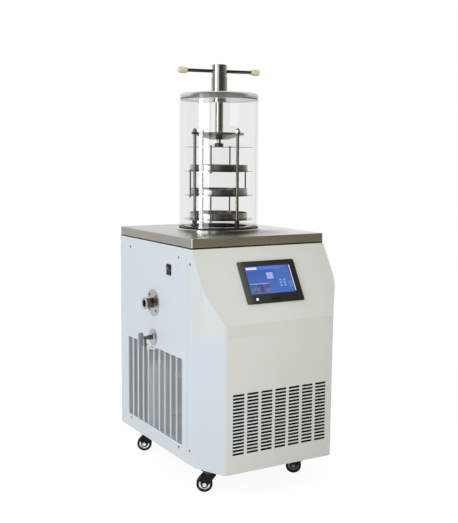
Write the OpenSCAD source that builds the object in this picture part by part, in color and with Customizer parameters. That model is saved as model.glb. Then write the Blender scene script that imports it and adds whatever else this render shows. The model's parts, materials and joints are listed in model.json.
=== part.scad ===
// Floor-standing stoppering freeze dryer: a sheet-metal cabinet with its refrigeration unit, and a
// clear chamber with a hand-turned press and a hanging shelf rack on top. X is right, Y is back.

/* [Cabinet] */
// Width over the side panels
cab_w = 485; // [440:5:560]
// Depth of the stainless top plate
top_d = 530; // [500:5:620]
// Height from the cabinet's lower edge to the underside of the top plate
cab_h = 670; // [640:5:760]
// Thickness of the painted panels
sheet_t = 1.5; // [1:0.1:2]
// Width of the folded edges inside the panels
fold_w = 14; // [10:1:18]
// Gap between neighbouring panels
panel_gap = 0.6; // [0.3:0.1:1]

/* [Top plate] */
// Height of the top plate's folded skirt
top_t = 32; // [24:1:40]
// Thickness of the stainless sheet
top_sheet = 2; // [1.5:0.1:3]
// Radius of the top plate's corners
top_corner = 7; // [3:1:15]

/* [Front cover] */
// How far the front face stands ahead of the top plate
front_reach = 125; // [90:2:140]
// Height of the sloped control face
slope_drop = 216; // [190:2:250]
// Width of the vertical front face
front_w = 390; // [340:5:430]
// Where the wings start to bend in at the floor end, ahead of the top plate
wing_low = 19; // [10:1:40]
// Where the wings start to bend in at the slope, ahead of the top plate
wing_high = 68; // [50:1:80]
// Bend radius between side and wing
wing_radius = 40; // [20:2:60]
// Bend radius between wing and front face
nose_radius = 14; // [8:1:20]
// Distance of the cover's rear edge behind the top plate's front edge
cover_lap = 26; // [20:1:40]

/* [Front vent] */
// Number of slot columns
vent_cols = 7; // [4:1:8]
// Number of slot rows
vent_rows = 18; // [8:1:20]
// Length of one slot
vent_slot = 40; // [20:1:44]
// Height of one slot
vent_slot_h = 6.6; // [3:0.2:7]
// Distance between columns
vent_pitch = 50; // [46:1:52]
// Distance between rows
vent_row_pitch = 10.6; // [8:0.1:12]
// Height of the lowest slot above the cabinet's lower edge
vent_low = 58; // [40:1:80]

/* [Side vents] */
// Number of slot columns
side_cols = 10; // [4:1:10]
// Number of slot rows
side_rows = 41; // [10:1:41]
// Length of one slot
side_slot = 33; // [20:1:35]
// Height of one slot
side_slot_h = 4.4; // [2:0.1:4.4]
// Distance between columns
side_pitch = 41; // [38:1:42]
// Distance between rows
side_row_pitch = 6.7; // [5:0.1:7]
// Height of the lowest slot above the cabinet's lower edge
side_low = 50; // [40:1:70]

/* [Back vent] */
// Number of slot columns
back_cols = 6; // [2:1:7]
// Number of slot rows
back_rows = 16; // [4:1:18]
// Height of the lowest slot above the cabinet's lower edge
back_low = 250; // [200:5:300]

/* [Panel screws] */
// Thread radius of the panel screws
screw_r = 2; // [1.5:0.1:2.5]
// Radius of a screw head
screw_head_r = 4; // [3:0.1:5]
// Height of a screw head
screw_head_h = 2.2; // [1.5:0.1:3]
// Distance of the side panel's screws from its middle
side_screw_y = 180; // [150:5:200]
// Distance of the screws from the panel's lower and upper edge
side_screw_z = 36; // [25:1:45]
// Distance of the cover's screws behind the top plate's front edge
cover_screw_y = 11; // [8:1:15]
// Distance of the cover's screws from its lower and upper edge
cover_screw_z = 46; // [30:1:60]

/* [Control panel] */
// Width of the touch panel's housing
hmi_w = 206; // [180:2:230]
// Height of the touch panel's housing along the slope
hmi_h = 139; // [120:1:160]
// Height of the housing above the cover
hmi_rise = 6; // [4:0.5:8]
// Corner radius of the housing
hmi_corner = 5; // [2:0.5:10]
// Depth of the housing's back behind the cover
hmi_back = 32; // [20:1:40]
// Width of the screen
screen_w = 166; // [140:2:170]
// Height of the screen
screen_h = 96; // [80:1:100]
// Distance from the slope's upper edge to the middle of the housing
hmi_down = 120; // [100:1:130]
// How far the screen sits above the housing's middle
screen_up = 8; // [4:1:12]

/* [Switch] */
// Width of the mains switch
switch_w = 30; // [22:1:30]
// Height of the mains switch
switch_h = 35; // [28:1:40]
// Place of the switch ahead of the chamber axis
switch_y = 113; // [80:5:140]
// Height of the switch's middle below the top plate
switch_down = 77; // [60:1:90]
// Half of the rocker's tilt in degrees
rocker_tilt = 8; // [5:1:12]

/* [Vacuum port] */
// Radius of the port's mounting flange
port_flange_r = 43; // [36:1:50]
// Thickness of the mounting flange
port_flange_t = 4; // [3:0.5:6]
// Bore radius of the nozzle
port_bore_r = 12.5; // [8:0.5:13]
// Outer radius of the nozzle tube
port_tube_r = 15.5; // [14:0.5:17]
// Radius of the nozzle's end flange
port_end_r = 20; // [19:0.5:22]
// Length of the nozzle ahead of the side panel
port_reach = 34; // [32:1:48]
// Depth of the port's axis under the top plate
port_down = 199; // [170:1:230]
// Radius of the circle that the flange screws lie on
port_screw_pcd_r = 34; // [26:1:37]

/* [Drain valve] */
// Radius of the drain's mounting flange
drain_flange_r = 28; // [24:1:32]
// Depth of the drain's axis under the top plate
drain_down = 314; // [290:1:325]
// Distance of the drain's axis behind the chamber axis
drain_y = 3; // [0:1:20]
// Height of the drain lever
lever_h = 44; // [34:1:50]
// Width of the drain lever
lever_w = 16; // [12:1:20]
// Thickness of the drain lever
lever_t = 12.5; // [8:0.5:14]
// Distance from the side panel to the lever's outer face
lever_reach = 52; // [48:1:58]
// Outer radius of the hose barb
barb_r = 4.5; // [3:0.5:6]
// Bore radius of the hose barb
barb_bore_r = 2.6; // [2:0.1:3]
// Length of the hose barb below the valve's axis
barb_len = 30; // [22:1:36]

/* [Cold trap] */
// Distance of the trap's wall inside the shelves' rim
trap_inset = 16; // [12:1:31]
// Depth of the cold trap below the top plate
trap_depth = 260; // [200:5:300]
// Wall of the cold trap
trap_wall = 1.5; // [1:0.1:3]
// Width of the seat's rim outside the jar
seat_rim = 8; // [4:1:15]
// Height of the chamber seat above the top plate
seat_h = 8; // [5:0.5:12]
// Radius of the evaporator tube
coil_tube_r = 5; // [4:0.5:6]
// Gap between the evaporator coil and the trap's wall
coil_gap = 0.4; // [0.3:0.1:1]
// Number of turns of the evaporator tube
coil_turns = 6; // [4:1:7]
// Thickness of the insulation
foam_t = 34; // [25:1:40]

/* [Chamber] */
// Outer radius of the clear cylinder
jar_r = 132; // [122:1:134]
// Wall of the clear cylinder
jar_wall = 6; // [4:0.5:8]
// Height of the clear cylinder
jar_h = 417; // [400:1:450]
// Thickness of the lid
lid_t = 21; // [18:1:30]
// Rounding of the lid's upper edge
lid_round = 9; // [3:0.5:12]
// How far the lid's rim stands inside the cylinder's outer face
lid_step = 2; // [0:0.5:3]
// Thickness of the rubber gasket
gasket_t = 3; // [2:0.5:4]

/* [Press] */
// Radius of the press sleeve on the lid
sleeve_r = 27; // [24:0.5:32]
// Height of the press sleeve
sleeve_h = 52; // [45:1:70]
// Radius of the handle hub
hub_r = 25.5; // [22:0.5:27]
// Height of the handle hub
hub_h = 41; // [34:1:50]
// Distance from the hub's top to the bar's axis
bar_down = 21; // [15:1:24]
// Rest angle of the handle bar in degrees
bar_turn = -11; // [-90:1:90]
// Radius of the handle bar
bar_r = 5.5; // [4:0.5:7]
// Half of the bar's length over the end caps
bar_reach = 141; // [110:1:160]
// Radius of a bar cap
cap_r = 10.5; // [8:0.5:13]
// Length of a bar cap
cap_len = 30; // [24:1:40]
// Radius of the press rod
rod_r = 14; // [10:0.5:16]
// Radius of the press foot
foot_r = 15; // [11:0.5:18]
// Height of the press foot
foot_h = 13; // [9:0.5:16]

/* [Shelf rack] */
// Gap between a shelf's rim and the jar
shelf_gap = 10; // [6:0.5:11]
// Thickness of a shelf
shelf_t = 1.5; // [1:0.1:2]
// Distance between shelves
shelf_pitch = 79.5; // [70:0.5:82]
// Height of the lowest shelf's top above the top plate
shelf_low = 37.5; // [35:0.5:45]
// Distance of the guide rods' axes inside the shelves' rim
guide_inset = 12; // [8:0.5:12]
// Radius of a guide rod
guide_r = 5; // [4:0.1:5]
// Distance of the hangers' axes inside the shelves' rim
hanger_inset = 5; // [4.5:0.5:6]
// Radius of a hanger
hanger_r = 2.5; // [2:0.1:3]
// Distance of the bridge disc's rim inside the guide rods' axes
bridge_inset = 20; // [17:1:34]
// Thickness of the bridge plate's edge
bridge_t = 7; // [5:0.5:10]
// Depth of the bridge plate's middle
bridge_boss = 22; // [14:1:26]
// Height of the bridge plate's top above the highest shelf
bridge_up = 47; // [40:1:56]
// Distance of a tray's rim inside the shelves' rim
tray_inset = 18; // [18:0.5:36]
// Height of a tray
tray_h = 21; // [15:0.5:30]
// Wall of a tray
tray_wall = 1; // [0.8:0.1:1.5]
// Radial clearance of the sliding shelves and rod
slide_fit = 0.1; // [0.05:0.01:0.1]

/* [Refrigeration] */
// Radius of the compressor's shell
comp_r = 84; // [70:1:90]
// Height of the compressor's shell
comp_h = 190; // [160:5:220]
// Width of the condenser
cond_w = 320; // [260:5:330]
// Height of the condenser
cond_h = 250; // [220:5:270]
// Depth of the condenser
cond_d = 44; // [30:2:60]
// Number of condenser fins
cond_fins = 36; // [12:1:44]
// Radius of the fan
fan_r = 105; // [85:1:110]
// Number of fan blades
fan_blades_n = 5; // [3:1:7]
// Radius of the liquid receiver
receiver_r = 42; // [30:1:45]
// Height of the liquid receiver
receiver_h = 240; // [180:5:260]

/* [Castors] */
// Height of the bearers that the castors are bolted to
bearer_h = 28; // [20:1:34]
// Half of the distance between left and right castors
castor_x = 169; // [150:1:175]
// Distance of the front castors ahead of the chamber axis
castor_front = 257; // [240:1:265]
// Distance of the rear castors behind the chamber axis
castor_rear = 185; // [160:1:200]
// Height of a castor's plate above the top of its wheel
castor_over = 17; // [16:0.5:26]
// Radius of a castor wheel
wheel_r = 25.5; // [22:0.5:27]
// Width of a castor wheel
wheel_w = 21; // [18:0.5:24]
// Distance of the wheel's axle from the swivel axis
castor_trail = 20; // [16:1:24]
// Radius of a castor axle
axle_r = 4; // [3:0.1:5]
// Running clearance of axles and pins
pin_fit = 0.05; // [0.02:0.01:0.1]
// Rest angles of the four castors in degrees: front left, front right, rear left, rear right
castor_turn = [151, 146, 149, 156];

/* [Hidden] */
$fn = 64;
eps = 0.5;
touch = 0.3;

// Main planes
floor_gap = 2 * wheel_r + castor_over + bearer_h;
z_low = floor_gap;
z_mount = z_low - bearer_h;
z_under = z_low + cab_h;
z_top = z_under + top_t;
x_side = cab_w / 2;
y_plate = top_d / 2;
y_nose = -y_plate - front_reach;
y_cover = -y_plate + cover_lap;
z_fold = z_under - slope_drop;
slope_k = front_reach / slope_drop;
slope_len = sqrt(front_reach ^ 2 + slope_drop ^ 2);
slope_tilt = atan(slope_k);

// The model's origin is the middle of its footprint, which the drain lever widens on the left
frame_x = lever_reach / 2;
frame_y = front_reach / 2;

// Chamber levels
z_seat = z_top + seat_h;
z_gasket = z_seat + gasket_t;
z_lid = z_gasket + jar_h + gasket_t;
z_lid_top = z_lid + lid_t;
hub_gap = 0.4;
z_hub = z_lid_top + sleeve_h + hub_gap;
z_bar = z_hub + hub_h - bar_down;
z_shelf_low = z_top + shelf_low;
z_shelf_high = z_shelf_low + 3 * shelf_pitch;
z_bridge = z_shelf_high + bridge_up;
z_foot_top = z_shelf_high + foot_h;
seat_r = jar_r + seat_rim;
lid_r = jar_r - lid_step;
shelf_r = jar_r - jar_wall - shelf_gap;
guide_pcd_r = shelf_r - guide_inset;
hanger_pcd_r = shelf_r - hanger_inset;
bridge_r = guide_pcd_r - bridge_inset;
tray_r = shelf_r - tray_inset;
trap_r = shelf_r - trap_inset;
coil_steps = 24;
// The straight steps of the coil's skin bow inwards, which the cosine makes room for
coil_r = (trap_r + trap_wall + coil_gap) / cos(180 / coil_steps) + coil_tube_r;
foam_r = coil_r + coil_tube_r + touch + foam_t;
spindle_r = 7;
rack_base_t = 3;

// Angles about the chamber axis, from the front and turning to the right
guide_turns = [6, -79, 184];
hanger_turns = [[-43, 130], [-87, 95], [-43, 130]];

// Names of the wheel places
castor_at = [[-castor_x, -castor_front], [castor_x, -castor_front],
  [-castor_x, castor_rear], [castor_x, castor_rear]];

function polar(r, turn) = [r * sin(turn), -r * cos(turn)];
function mix(a, b, t) = a + (b - a) * t;

// Moves a piece from the chamber axis on the floor to the model's origin
module in_frame() translate([frame_x, frame_y, 0]) children();

// A plate outline with four round corners
module round_rect(w, h, r) {
  square([w - 2 * r, h], center = true);
  square([w, h - 2 * r], center = true);
  for (x = [-1, 1], y = [-1, 1]) translate([x * (w / 2 - r), y * (h / 2 - r)]) circle(r);
}

// A tube standing on z = 0
module tube(outer, inner, h) {
  difference() {
    cylinder(r = outer, h = h);
    translate([0, 0, -eps]) cylinder(r = inner, h = h + 2 * eps);
  }
}

// A field of slots, its lower left slot's corner at the origin of a centred row
module slot_field(cols, rows, length, height, pitch, row_pitch) {
  for (c = [0:cols - 1], r = [0:rows - 1])
    translate([(c - (cols - 1) / 2) * pitch - length / 2, r * row_pitch]) square([length, height]);
}

// Turns a drawing in X and Z onto the outside of the left panel, where +Y is to its left
module on_left(x) translate([x, 0, 0]) rotate([90, 0, -90]) children();

// ---- Cabinet ----

// Outline of the cabinet floor, cut short of the panels by a margin and of the cover's bends by more
module floor_outline(margin) {
  x = x_side - margin;
  xf = front_w / 2 - margin - 2;
  yb = y_plate - margin;
  bend = atan((x_side - front_w / 2) / (front_reach - wing_low));
  yw = -y_plate - wing_low + wing_radius * tan(bend / 2) + margin;
  yf = y_nose + margin + 1;
  polygon([[-x, yb], [x, yb], [x, yw], [xf, yf], [-xf, yf], [-x, yw]]);
}

bearer_w = 56;
bearer_t = 3;
bearer_len = 2 * (castor_x + 25);
pan_t = 2;
pan_lip = 10;
post_w = 24;
post_t = 3;
frame_margin = sheet_t + touch;

module corner_post(sx, sy, y) {
  x = x_side - frame_margin - fold_w - touch;
  translate([sx * x, y, z_low + pan_t]) mirror([sx > 0 ? 1 : 0, 0, 0]) mirror([0, sy > 0 ? 1 : 0, 0])
    linear_extrude(cab_h - pan_t - post_t)
      polygon([[0, 0], [post_w, 0], [post_w, post_t], [post_t, post_t], [post_t, post_w], [0, post_w]]);
}

module welded_frame() {
  yb = y_plate - frame_margin - fold_w - touch;
  yf = y_cover - post_w - 8;
  x = x_side - frame_margin - fold_w - touch;
  color("lightgray") in_frame() difference() {
    union() {
      translate([0, 0, z_low]) linear_extrude(pan_t) floor_outline(frame_margin);
      // Upturned lip all round the floor pan
      translate([0, 0, z_low]) linear_extrude(pan_lip) difference() {
        floor_outline(frame_margin + fold_w);
        floor_outline(frame_margin + fold_w + pan_t);
      }
      for (s = [-1, 1]) {
        corner_post(s, 1, yb);
        corner_post(s, -1, yf + 8);
      }
      // Top ring that carries the plate
      translate([0, 0, z_under - post_t]) linear_extrude(post_t) difference() {
        translate([-x, yf + 8]) square([2 * x, yb - yf - 8]);
        translate([-x + post_w, yf + 8 + post_w]) square([2 * (x - post_w), yb - yf - 8 - 2 * post_w]);
      }
      // Two folded bearers across the underside
      for (y = [-castor_front, castor_rear]) translate([-bearer_len / 2, y, z_low - bearer_h])
        rotate([90, 0, 90]) linear_extrude(bearer_len) difference() {
          translate([-bearer_w / 2, 0]) square([bearer_w, bearer_h + eps]);
          translate([-bearer_w / 2 + bearer_t, bearer_t]) square([bearer_w - 2 * bearer_t, bearer_h - bearer_t]);
        }
      // Cross rails that the cold trap hangs between
      for (s = [-1, 1]) translate([-x, s > 0 ? foam_r + 2 : -foam_r - 2 - post_w, z_under - post_t])
        cube([2 * x, post_w, post_t]);
    }
    // Bolt holes for the castor plates
    for (at = castor_at, sx = [-1, 1], sy = [-1, 1])
      translate([at[0] + sx * castor_bolt, at[1] + sy * castor_bolt, z_mount - eps])
        cylinder(r = 3.2, h = bearer_t + 2 * eps);
  }
}

// Half outline of a sheet panel: its face lies in XZ, folds run inwards along +Y
module side_face_cuts(ported) {
  translate([0, z_low + side_low])
    slot_field(side_cols, side_rows, side_slot, side_slot_h, side_pitch, side_row_pitch);
  for (y = [-side_screw_y, side_screw_y], z = [z_low + side_screw_z, z_under - side_screw_z + 4])
    translate([y, z]) circle(screw_r + 0.2);
  if (ported) {
    translate([switch_y, z_under - switch_down])
      square([switch_w - 4 + 0.4, switch_h - 4 + 0.4], center = true);
    translate([0, z_under - port_down]) circle(port_tube_r + 2);
    translate([0, z_under - port_down]) for (a = [45:90:315]) rotate(a) translate([port_screw_pcd_r, 0])
      circle(screw_r + 0.2);
    translate([-drain_y, z_under - drain_down]) circle(drain_body_r + 0.5);
  }
}

// The left panel's face is drawn as seen from outside, so its x is minus the model's y
module side_panel(ported) {
  y0 = y_cover + panel_gap;
  on_left(-x_side + sheet_t) linear_extrude(sheet_t) difference() {
    translate([-y_plate, z_low]) square([y_plate - y0, cab_h]);
    side_face_cuts(ported);
  }
  // Folded edges
  translate([-x_side, y0, z_low]) {
    translate([0, 0, pan_t + touch]) cube([fold_w, sheet_t, cab_h - pan_t - touch]);
    translate([0, y_plate - y0 - sheet_t, 0]) cube([fold_w, sheet_t, cab_h]);
    translate([0, 0, cab_h - sheet_t]) cube([fold_w, y_plate - y0, sheet_t]);
  }
}

module left_side_panel() color("aliceblue") in_frame() side_panel(true);
module right_side_panel() color("aliceblue") in_frame() mirror([1, 0, 0]) side_panel(false);

inlet_w = 50;
inlet_h = 28;
inlet_x = 150;
inlet_up = 70;

module back_panel() {
  w = 2 * (x_side - fold_w - panel_gap);
  color("aliceblue") in_frame() {
    translate([0, y_plate, 0]) rotate([90, 0, 0]) linear_extrude(sheet_t) difference() {
      translate([-w / 2, z_low]) square([w, cab_h]);
      translate([0, z_low + back_low]) slot_field(back_cols, back_rows, vent_slot, vent_slot_h, vent_pitch,
        vent_row_pitch);
      translate([inlet_x, z_low + inlet_up]) square([inlet_w - 22, inlet_h - 6], center = true);
      for (x = [-1, 1], z = [z_low + side_screw_z, z_under - side_screw_z])
        translate([x * (w / 2 - 12), z]) circle(screw_r + 0.2);
    }
  }
}

// ---- Front cover ----
// The cover is ruled: each vertical line of the wing runs straight from its foot to the slope.
wing_steps = 4;
flat_steps = 6;
nose_steps = 6;
rise_steps = 12;

// Height of the slope's plane at y, moved inwards by g
function slope_z(y, g) = z_under - (-y_plate - y + g * sqrt(1 + slope_k ^ 2)) / slope_k;

// Plan of one wing, from the side face round to the front face, for a bend that starts at yb
function wing_bend(yb, g, alpha) =
  [for (k = [0:wing_steps]) let (a = alpha * k / wing_steps)
     [x_side - wing_radius + (wing_radius - g) * cos(a),
      yb + wing_radius * tan(alpha / 2) - (wing_radius - g) * sin(a)]];
function nose_bend(g, alpha) =
  [for (k = [0:nose_steps]) let (a = mix(alpha, 90, k / nose_steps))
     [front_w / 2 - nose_radius * tan((90 - alpha) / 2) + (nose_radius - g) * cos(a),
      y_nose + nose_radius - (nose_radius - g) * sin(a)]];
function wing_plan(yb, g) =
  let (alpha = atan((x_side - front_w / 2) / (yb - y_nose)),
    side = wing_bend(yb, g, alpha),
    nose = nose_bend(g, alpha))
  concat(side, [for (k = [1:flat_steps - 1]) mix(side[wing_steps], nose[0], k / flat_steps)], nose);

// A solid of the cover's outer form moved inwards by g, and longer by e at its open ends
module cover_form(g, e) {
  foot = wing_plan(-y_plate - wing_low, g);
  head = wing_plan(-y_plate - wing_high, g);
  n = len(foot);
  yr = y_cover + e;
  z_rear = slope_z(head[0][1], g);
  half = [for (i = [0:rise_steps]) let (t = i / rise_steps)
    concat([[x_side - g, yr, mix(z_low - e, z_rear, t)]],
      [for (j = [0:n - 1]) [mix(foot[j][0], head[j][0], t), mix(foot[j][1], head[j][1], t),
        mix(z_low - e, slope_z(head[j][1], g), t)]])];
  ring = [for (h = half) each concat(h, [for (j = [n:-1:0]) [-h[j][0], h[j][1], h[j][2]]])];
  m = 2 * (n + 1);
  zt = z_under + e;
  yt = -y_plate - (z_under - zt) * slope_k + g * sqrt(1 + slope_k ^ 2);
  top = [[x_side - g, yr, zt], [x_side - g, yt, zt], [-x_side + g, yt, zt], [-x_side + g, yr, zt]];
  last = rise_steps * m;
  t0 = last + m;
  sides = [for (i = [0:rise_steps - 1], j = [0:m - 1]) let (a = i * m + j, b = i * m + (j + 1) % m)
    each [[a, b, b + m], [a, b + m, a + m]]];
  slope = [for (j = [1:m - 3]) [last + j, last + j + 1, t0 + 1]];
  polyhedron(concat(ring, top), concat(sides, slope,
    [[for (j = [m - 1:-1:0]) j],
     [last, last + 1, t0 + 1], [last, t0 + 1, t0],
     [last + m - 2, last + m - 1, t0 + 3], [last + m - 2, t0 + 3, t0 + 2],
     [last + m - 2, t0 + 2, t0 + 1],
     [last + m - 1, last, t0], [last + m - 1, t0, t0 + 3],
     [t0, t0 + 1, t0 + 2, t0 + 3]]));
}

// Moves a drawing onto the slope: x to the right, y up the slope, z out of the face
module on_slope(down) {
  translate([0, -y_plate - down * sin(slope_tilt), z_under - down * cos(slope_tilt)])
    rotate([90 - slope_tilt, 0, 0]) children();
}

module front_cover() {
  color("gainsboro") in_frame() difference() {
    cover_form(0, 0);
    cover_form(sheet_t, 4);
    translate([0, y_nose + 5, z_low + vent_low]) rotate([90, 0, 0]) linear_extrude(10)
      slot_field(vent_cols, vent_rows, vent_slot, vent_slot_h, vent_pitch, vent_row_pitch);
    on_slope(hmi_down) translate([0, 0, -5])
      linear_extrude(10) square([hmi_w - 14, hmi_h - 14], center = true);
    for (s = [-1, 1], z = [z_low + cover_screw_z, z_under - cover_screw_z])
      translate([s * x_side - 5, -y_plate + cover_screw_y, z]) rotate([0, 90, 0])
        cylinder(r = screw_r + 0.2, h = 10);
  }
}

module top_plate() {
  color("gray") in_frame() difference() {
    translate([0, 0, z_under]) linear_extrude(top_t) round_rect(cab_w, top_d, top_corner);
    translate([0, 0, z_under - eps]) linear_extrude(top_t - top_sheet + eps)
      round_rect(cab_w - 2 * top_sheet, top_d - 2 * top_sheet, top_corner - top_sheet);
    translate([0, 0, z_under]) cylinder(r = trap_r + trap_wall + touch, h = top_t + eps);
  }
}

// A pan-head screw that points along -Z, its head's seat at z = 0
module screw(length) {
  cylinder(r = screw_r, h = length);
  rotate([180, 0, 0]) difference() {
    rotate_extrude() intersection() {
      translate([0, -screw_head_r * 1.6 + screw_head_h]) circle(screw_head_r * 1.6);
      square([screw_head_r, screw_head_h]);
    }
    translate([0, 0, screw_head_h - 0.9]) linear_extrude(1) {
      square([4.4, 0.9], center = true);
      square([0.9, 4.4], center = true);
    }
  }
}

module panel_screws() {
  color("silver") in_frame() {
    for (s = [-1, 1]) {
      for (y = [-side_screw_y, side_screw_y], z = [z_low + side_screw_z, z_under - side_screw_z + 4])
        translate([s * x_side, y, z]) rotate([0, -s * 90, 0]) screw(10);
      for (z = [z_low + cover_screw_z, z_under - cover_screw_z])
        translate([s * x_side, -y_plate + cover_screw_y, z]) rotate([0, -s * 90, 0]) screw(10);
      for (z = [z_low + side_screw_z, z_under - side_screw_z])
        translate([s * (x_side - fold_w - panel_gap - 12), y_plate, z]) rotate([90, 0, 0]) screw(10);
    }
    translate([-x_side - port_flange_t, 0, z_under - port_down]) rotate([0, 90, 0])
      for (a = [45:90:315]) rotate(a) translate([port_screw_pcd_r, 0, 0]) screw(10);
  }
}

// ---- Controls ----

module touch_panel_housing() {
  color("dimgray") in_frame() on_slope(hmi_down) difference() {
    union() {
      linear_extrude(hmi_rise - 2) round_rect(hmi_w, hmi_h, hmi_corner);
      translate([0, 0, hmi_rise - 2]) linear_extrude(2) round_rect(hmi_w - 4, hmi_h - 4, hmi_corner - 1);
      translate([0, 0, -hmi_back]) linear_extrude(hmi_back + 1)
        square([hmi_w - 15, hmi_h - 15], center = true);
      // Rubber plug of the front data socket
      translate([0, -hmi_h / 2 + 11.5, hmi_rise - 1]) linear_extrude(2) round_rect(32, 8, 3.9);
    }
    translate([0, screen_up, hmi_rise - 2.5]) linear_extrude(4) square([screen_w, screen_h], center = true);
    // Seat of the status lamp
    translate([-68, -hmi_h / 2 + 13, hmi_rise - 0.8]) cylinder(r = 3.2, h = 4);
  }
}

module touch_screen() {
  color("royalblue") in_frame() on_slope(hmi_down) translate([0, screen_up, hmi_rise - 2.5])
    linear_extrude(1.6) square([screen_w - 0.6, screen_h - 0.6], center = true);
}

rocker_w = switch_w - 8;
rocker_h = switch_h - 9;
rocker_axis = 1.5;

module on_switch() translate([-x_side, -switch_y, z_under - switch_down]) rotate([90, 0, -90]) children();

module switch_housing() {
  color("black") in_frame() on_switch() difference() {
    union() {
      linear_extrude(2.5) round_rect(switch_w, switch_h, 2);
      translate([0, 0, -24]) linear_extrude(25) square([switch_w - 4, switch_h - 4], center = true);
    }
    translate([0, 0, -16]) linear_extrude(24)
      square([rocker_w + 0.8, rocker_h + 1.2], center = true);
    translate([-switch_w / 2 + 2.5, 0, rocker_axis - 4]) rotate([0, 90, 0])
      cylinder(r = 1.5 + pin_fit, h = switch_w - 5);
  }
}

// A rocker with a shallow V on top, tilted to its pressed side
module switch_rocker() {
  h = rocker_h / 2 - 1;
  color("black") in_frame() on_switch() translate([0, 0, rocker_axis - 4]) {
    rotate([rocker_tilt, 0, 0]) translate([-rocker_w / 2, 0, 0]) rotate([90, 0, 90]) linear_extrude(rocker_w)
      polygon([[-h + 2, -6], [h - 2, -6], [h, 2], [h, 8.6], [0, 5.2], [-h, 8.6], [-h, 2]]);
    translate([-switch_w / 2 + 3, 0, 0]) rotate([0, 90, 0]) cylinder(r = 1.5, h = switch_w - 6);
  }
}

module power_inlet() {
  color("black") in_frame() translate([inlet_x, y_plate, z_low + inlet_up]) rotate([90, 0, 180]) {
    difference() {
      union() {
        linear_extrude(3) round_rect(inlet_w, inlet_h, 4);
        translate([0, 0, -20]) linear_extrude(21) square([inlet_w - 23, inlet_h - 7], center = true);
      }
      translate([0, 0, -14]) linear_extrude(20) difference() {
        square([24, 17], center = true);
        for (s = [-1, 1]) translate([s * 12, -8.5]) rotate(45) square(5, center = true);
      }
      for (s = [-1, 1]) translate([s * 20, 0, -eps]) cylinder(r = 1.7, h = 4 + eps);
    }
    for (x = [-7, 0, 7]) translate([x - 1, x == 0 ? 1 : -4, -14.5]) cube([2, 4, 12]);
  }
}

// ---- Ports on the left ----

module vacuum_port() {
  inner = x_side - trap_r - trap_wall - touch;
  color("silver") in_frame() translate([-x_side, 0, z_under - port_down]) rotate([0, -90, 0]) difference() {
    union() {
      linear_extrude(port_flange_t) difference() {
        circle(port_flange_r);
        for (a = [45:90:315]) rotate(a) translate([port_screw_pcd_r, 0]) circle(screw_r + 0.2);
      }
      translate([0, 0, -inner]) cylinder(r = port_tube_r, h = inner + port_reach - 1);
      // Clamp flange with its tapered back
      translate([0, 0, port_reach - 3]) cylinder(r = port_end_r, h = 3);
      translate([0, 0, port_reach - 5]) cylinder(r1 = port_end_r - 5, r2 = port_end_r - 0.5, h = 2);
      // Weld collar next to the mounting flange
      translate([0, 0, port_flange_t - 1]) cylinder(r = port_tube_r + 1.5, h = 5);
    }
    translate([0, 0, -inner - eps]) cylinder(r = port_bore_r, h = inner + port_reach + 2 * eps);
  }
}

drain_body_r = 8;
drain_pipe_r = 6;
drain_bend = 24;
drain_stem_r = 3;
drain_neck_r = 5.5;
drain_collar = 19;
drain_body_len = 36;
barb_at = 29;
lever_up = 18;

// Drawn with z straight out of the left panel and x upwards
module on_drain() translate([-x_side, drain_y, z_under - drain_down]) rotate([0, -90, 0]) children();

module drain_flange() {
  color("silver") in_frame() on_drain() difference() {
    union() {
      cylinder(r = drain_flange_r, h = 2.5);
      translate([0, 0, 2]) cylinder(r1 = 15, r2 = 12, h = 3);
    }
    translate([0, 0, -eps]) cylinder(r = drain_body_r + touch, h = 8);
  }
}

// Valve body with its hose barb, and the pipe that comes down from the cold trap
module drain_valve() {
  z_elbow = z_under - drain_down;
  rise = z_top - trap_depth - touch - z_elbow - drain_bend;
  color("dimgray") in_frame() {
    on_drain() difference() {
      union() {
        translate([0, 0, -x_side + drain_bend]) cylinder(r = drain_pipe_r, h = x_side - drain_bend);
        translate([0, 0, -30]) cylinder(r = drain_body_r, h = 30 + drain_collar);
        translate([0, 0, drain_collar - eps]) cylinder(r1 = drain_body_r, r2 = drain_neck_r, h = 3);
        cylinder(r = drain_neck_r, h = drain_body_len);
        // Barb that points down, with three ridges
        translate([0, 0, barb_at]) rotate([0, -90, 0]) {
          cylinder(r = barb_r - 0.8, h = barb_len);
          for (i = [0:2]) translate([0, 0, barb_len - 15 + i * 5])
            cylinder(r1 = barb_r, r2 = barb_r - 1.2, h = 4);
        }
      }
      translate([0, 0, barb_at]) rotate([0, -90, 0]) cylinder(r = barb_bore_r, h = barb_len + eps);
      translate([0, 0, barb_at - 6]) cylinder(r = drain_stem_r + pin_fit, h = 40);
    }
    translate([-drain_bend, drain_y, z_elbow + drain_bend]) rotate([90, 0, 0]) rotate(-90)
      rotate_extrude(angle = 90) translate([drain_bend, 0]) circle(drain_pipe_r);
    translate([0, drain_y, z_elbow + drain_bend]) cylinder(r = drain_pipe_r, h = rise);
  }
}

// Lever that hangs from the valve stem near its upper end
module drain_lever() {
  z0 = lever_reach - lever_t;
  color("slategray") in_frame() on_drain() {
    translate([0, 0, barb_at - 5]) cylinder(r = drain_stem_r, h = z0 - barb_at + 6);
    translate([0, 0, drain_body_len + touch]) cylinder(r = 4.2, h = z0 - drain_body_len);
    translate([lever_up - lever_h / 2, 0, z0]) {
      linear_extrude(lever_t - 2) round_rect(lever_h, lever_w, 5);
      translate([0, 0, lever_t - 2]) linear_extrude(2) round_rect(lever_h - 3, lever_w - 3, 3.5);
    }
  }
}

// ---- Cold trap ----

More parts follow.
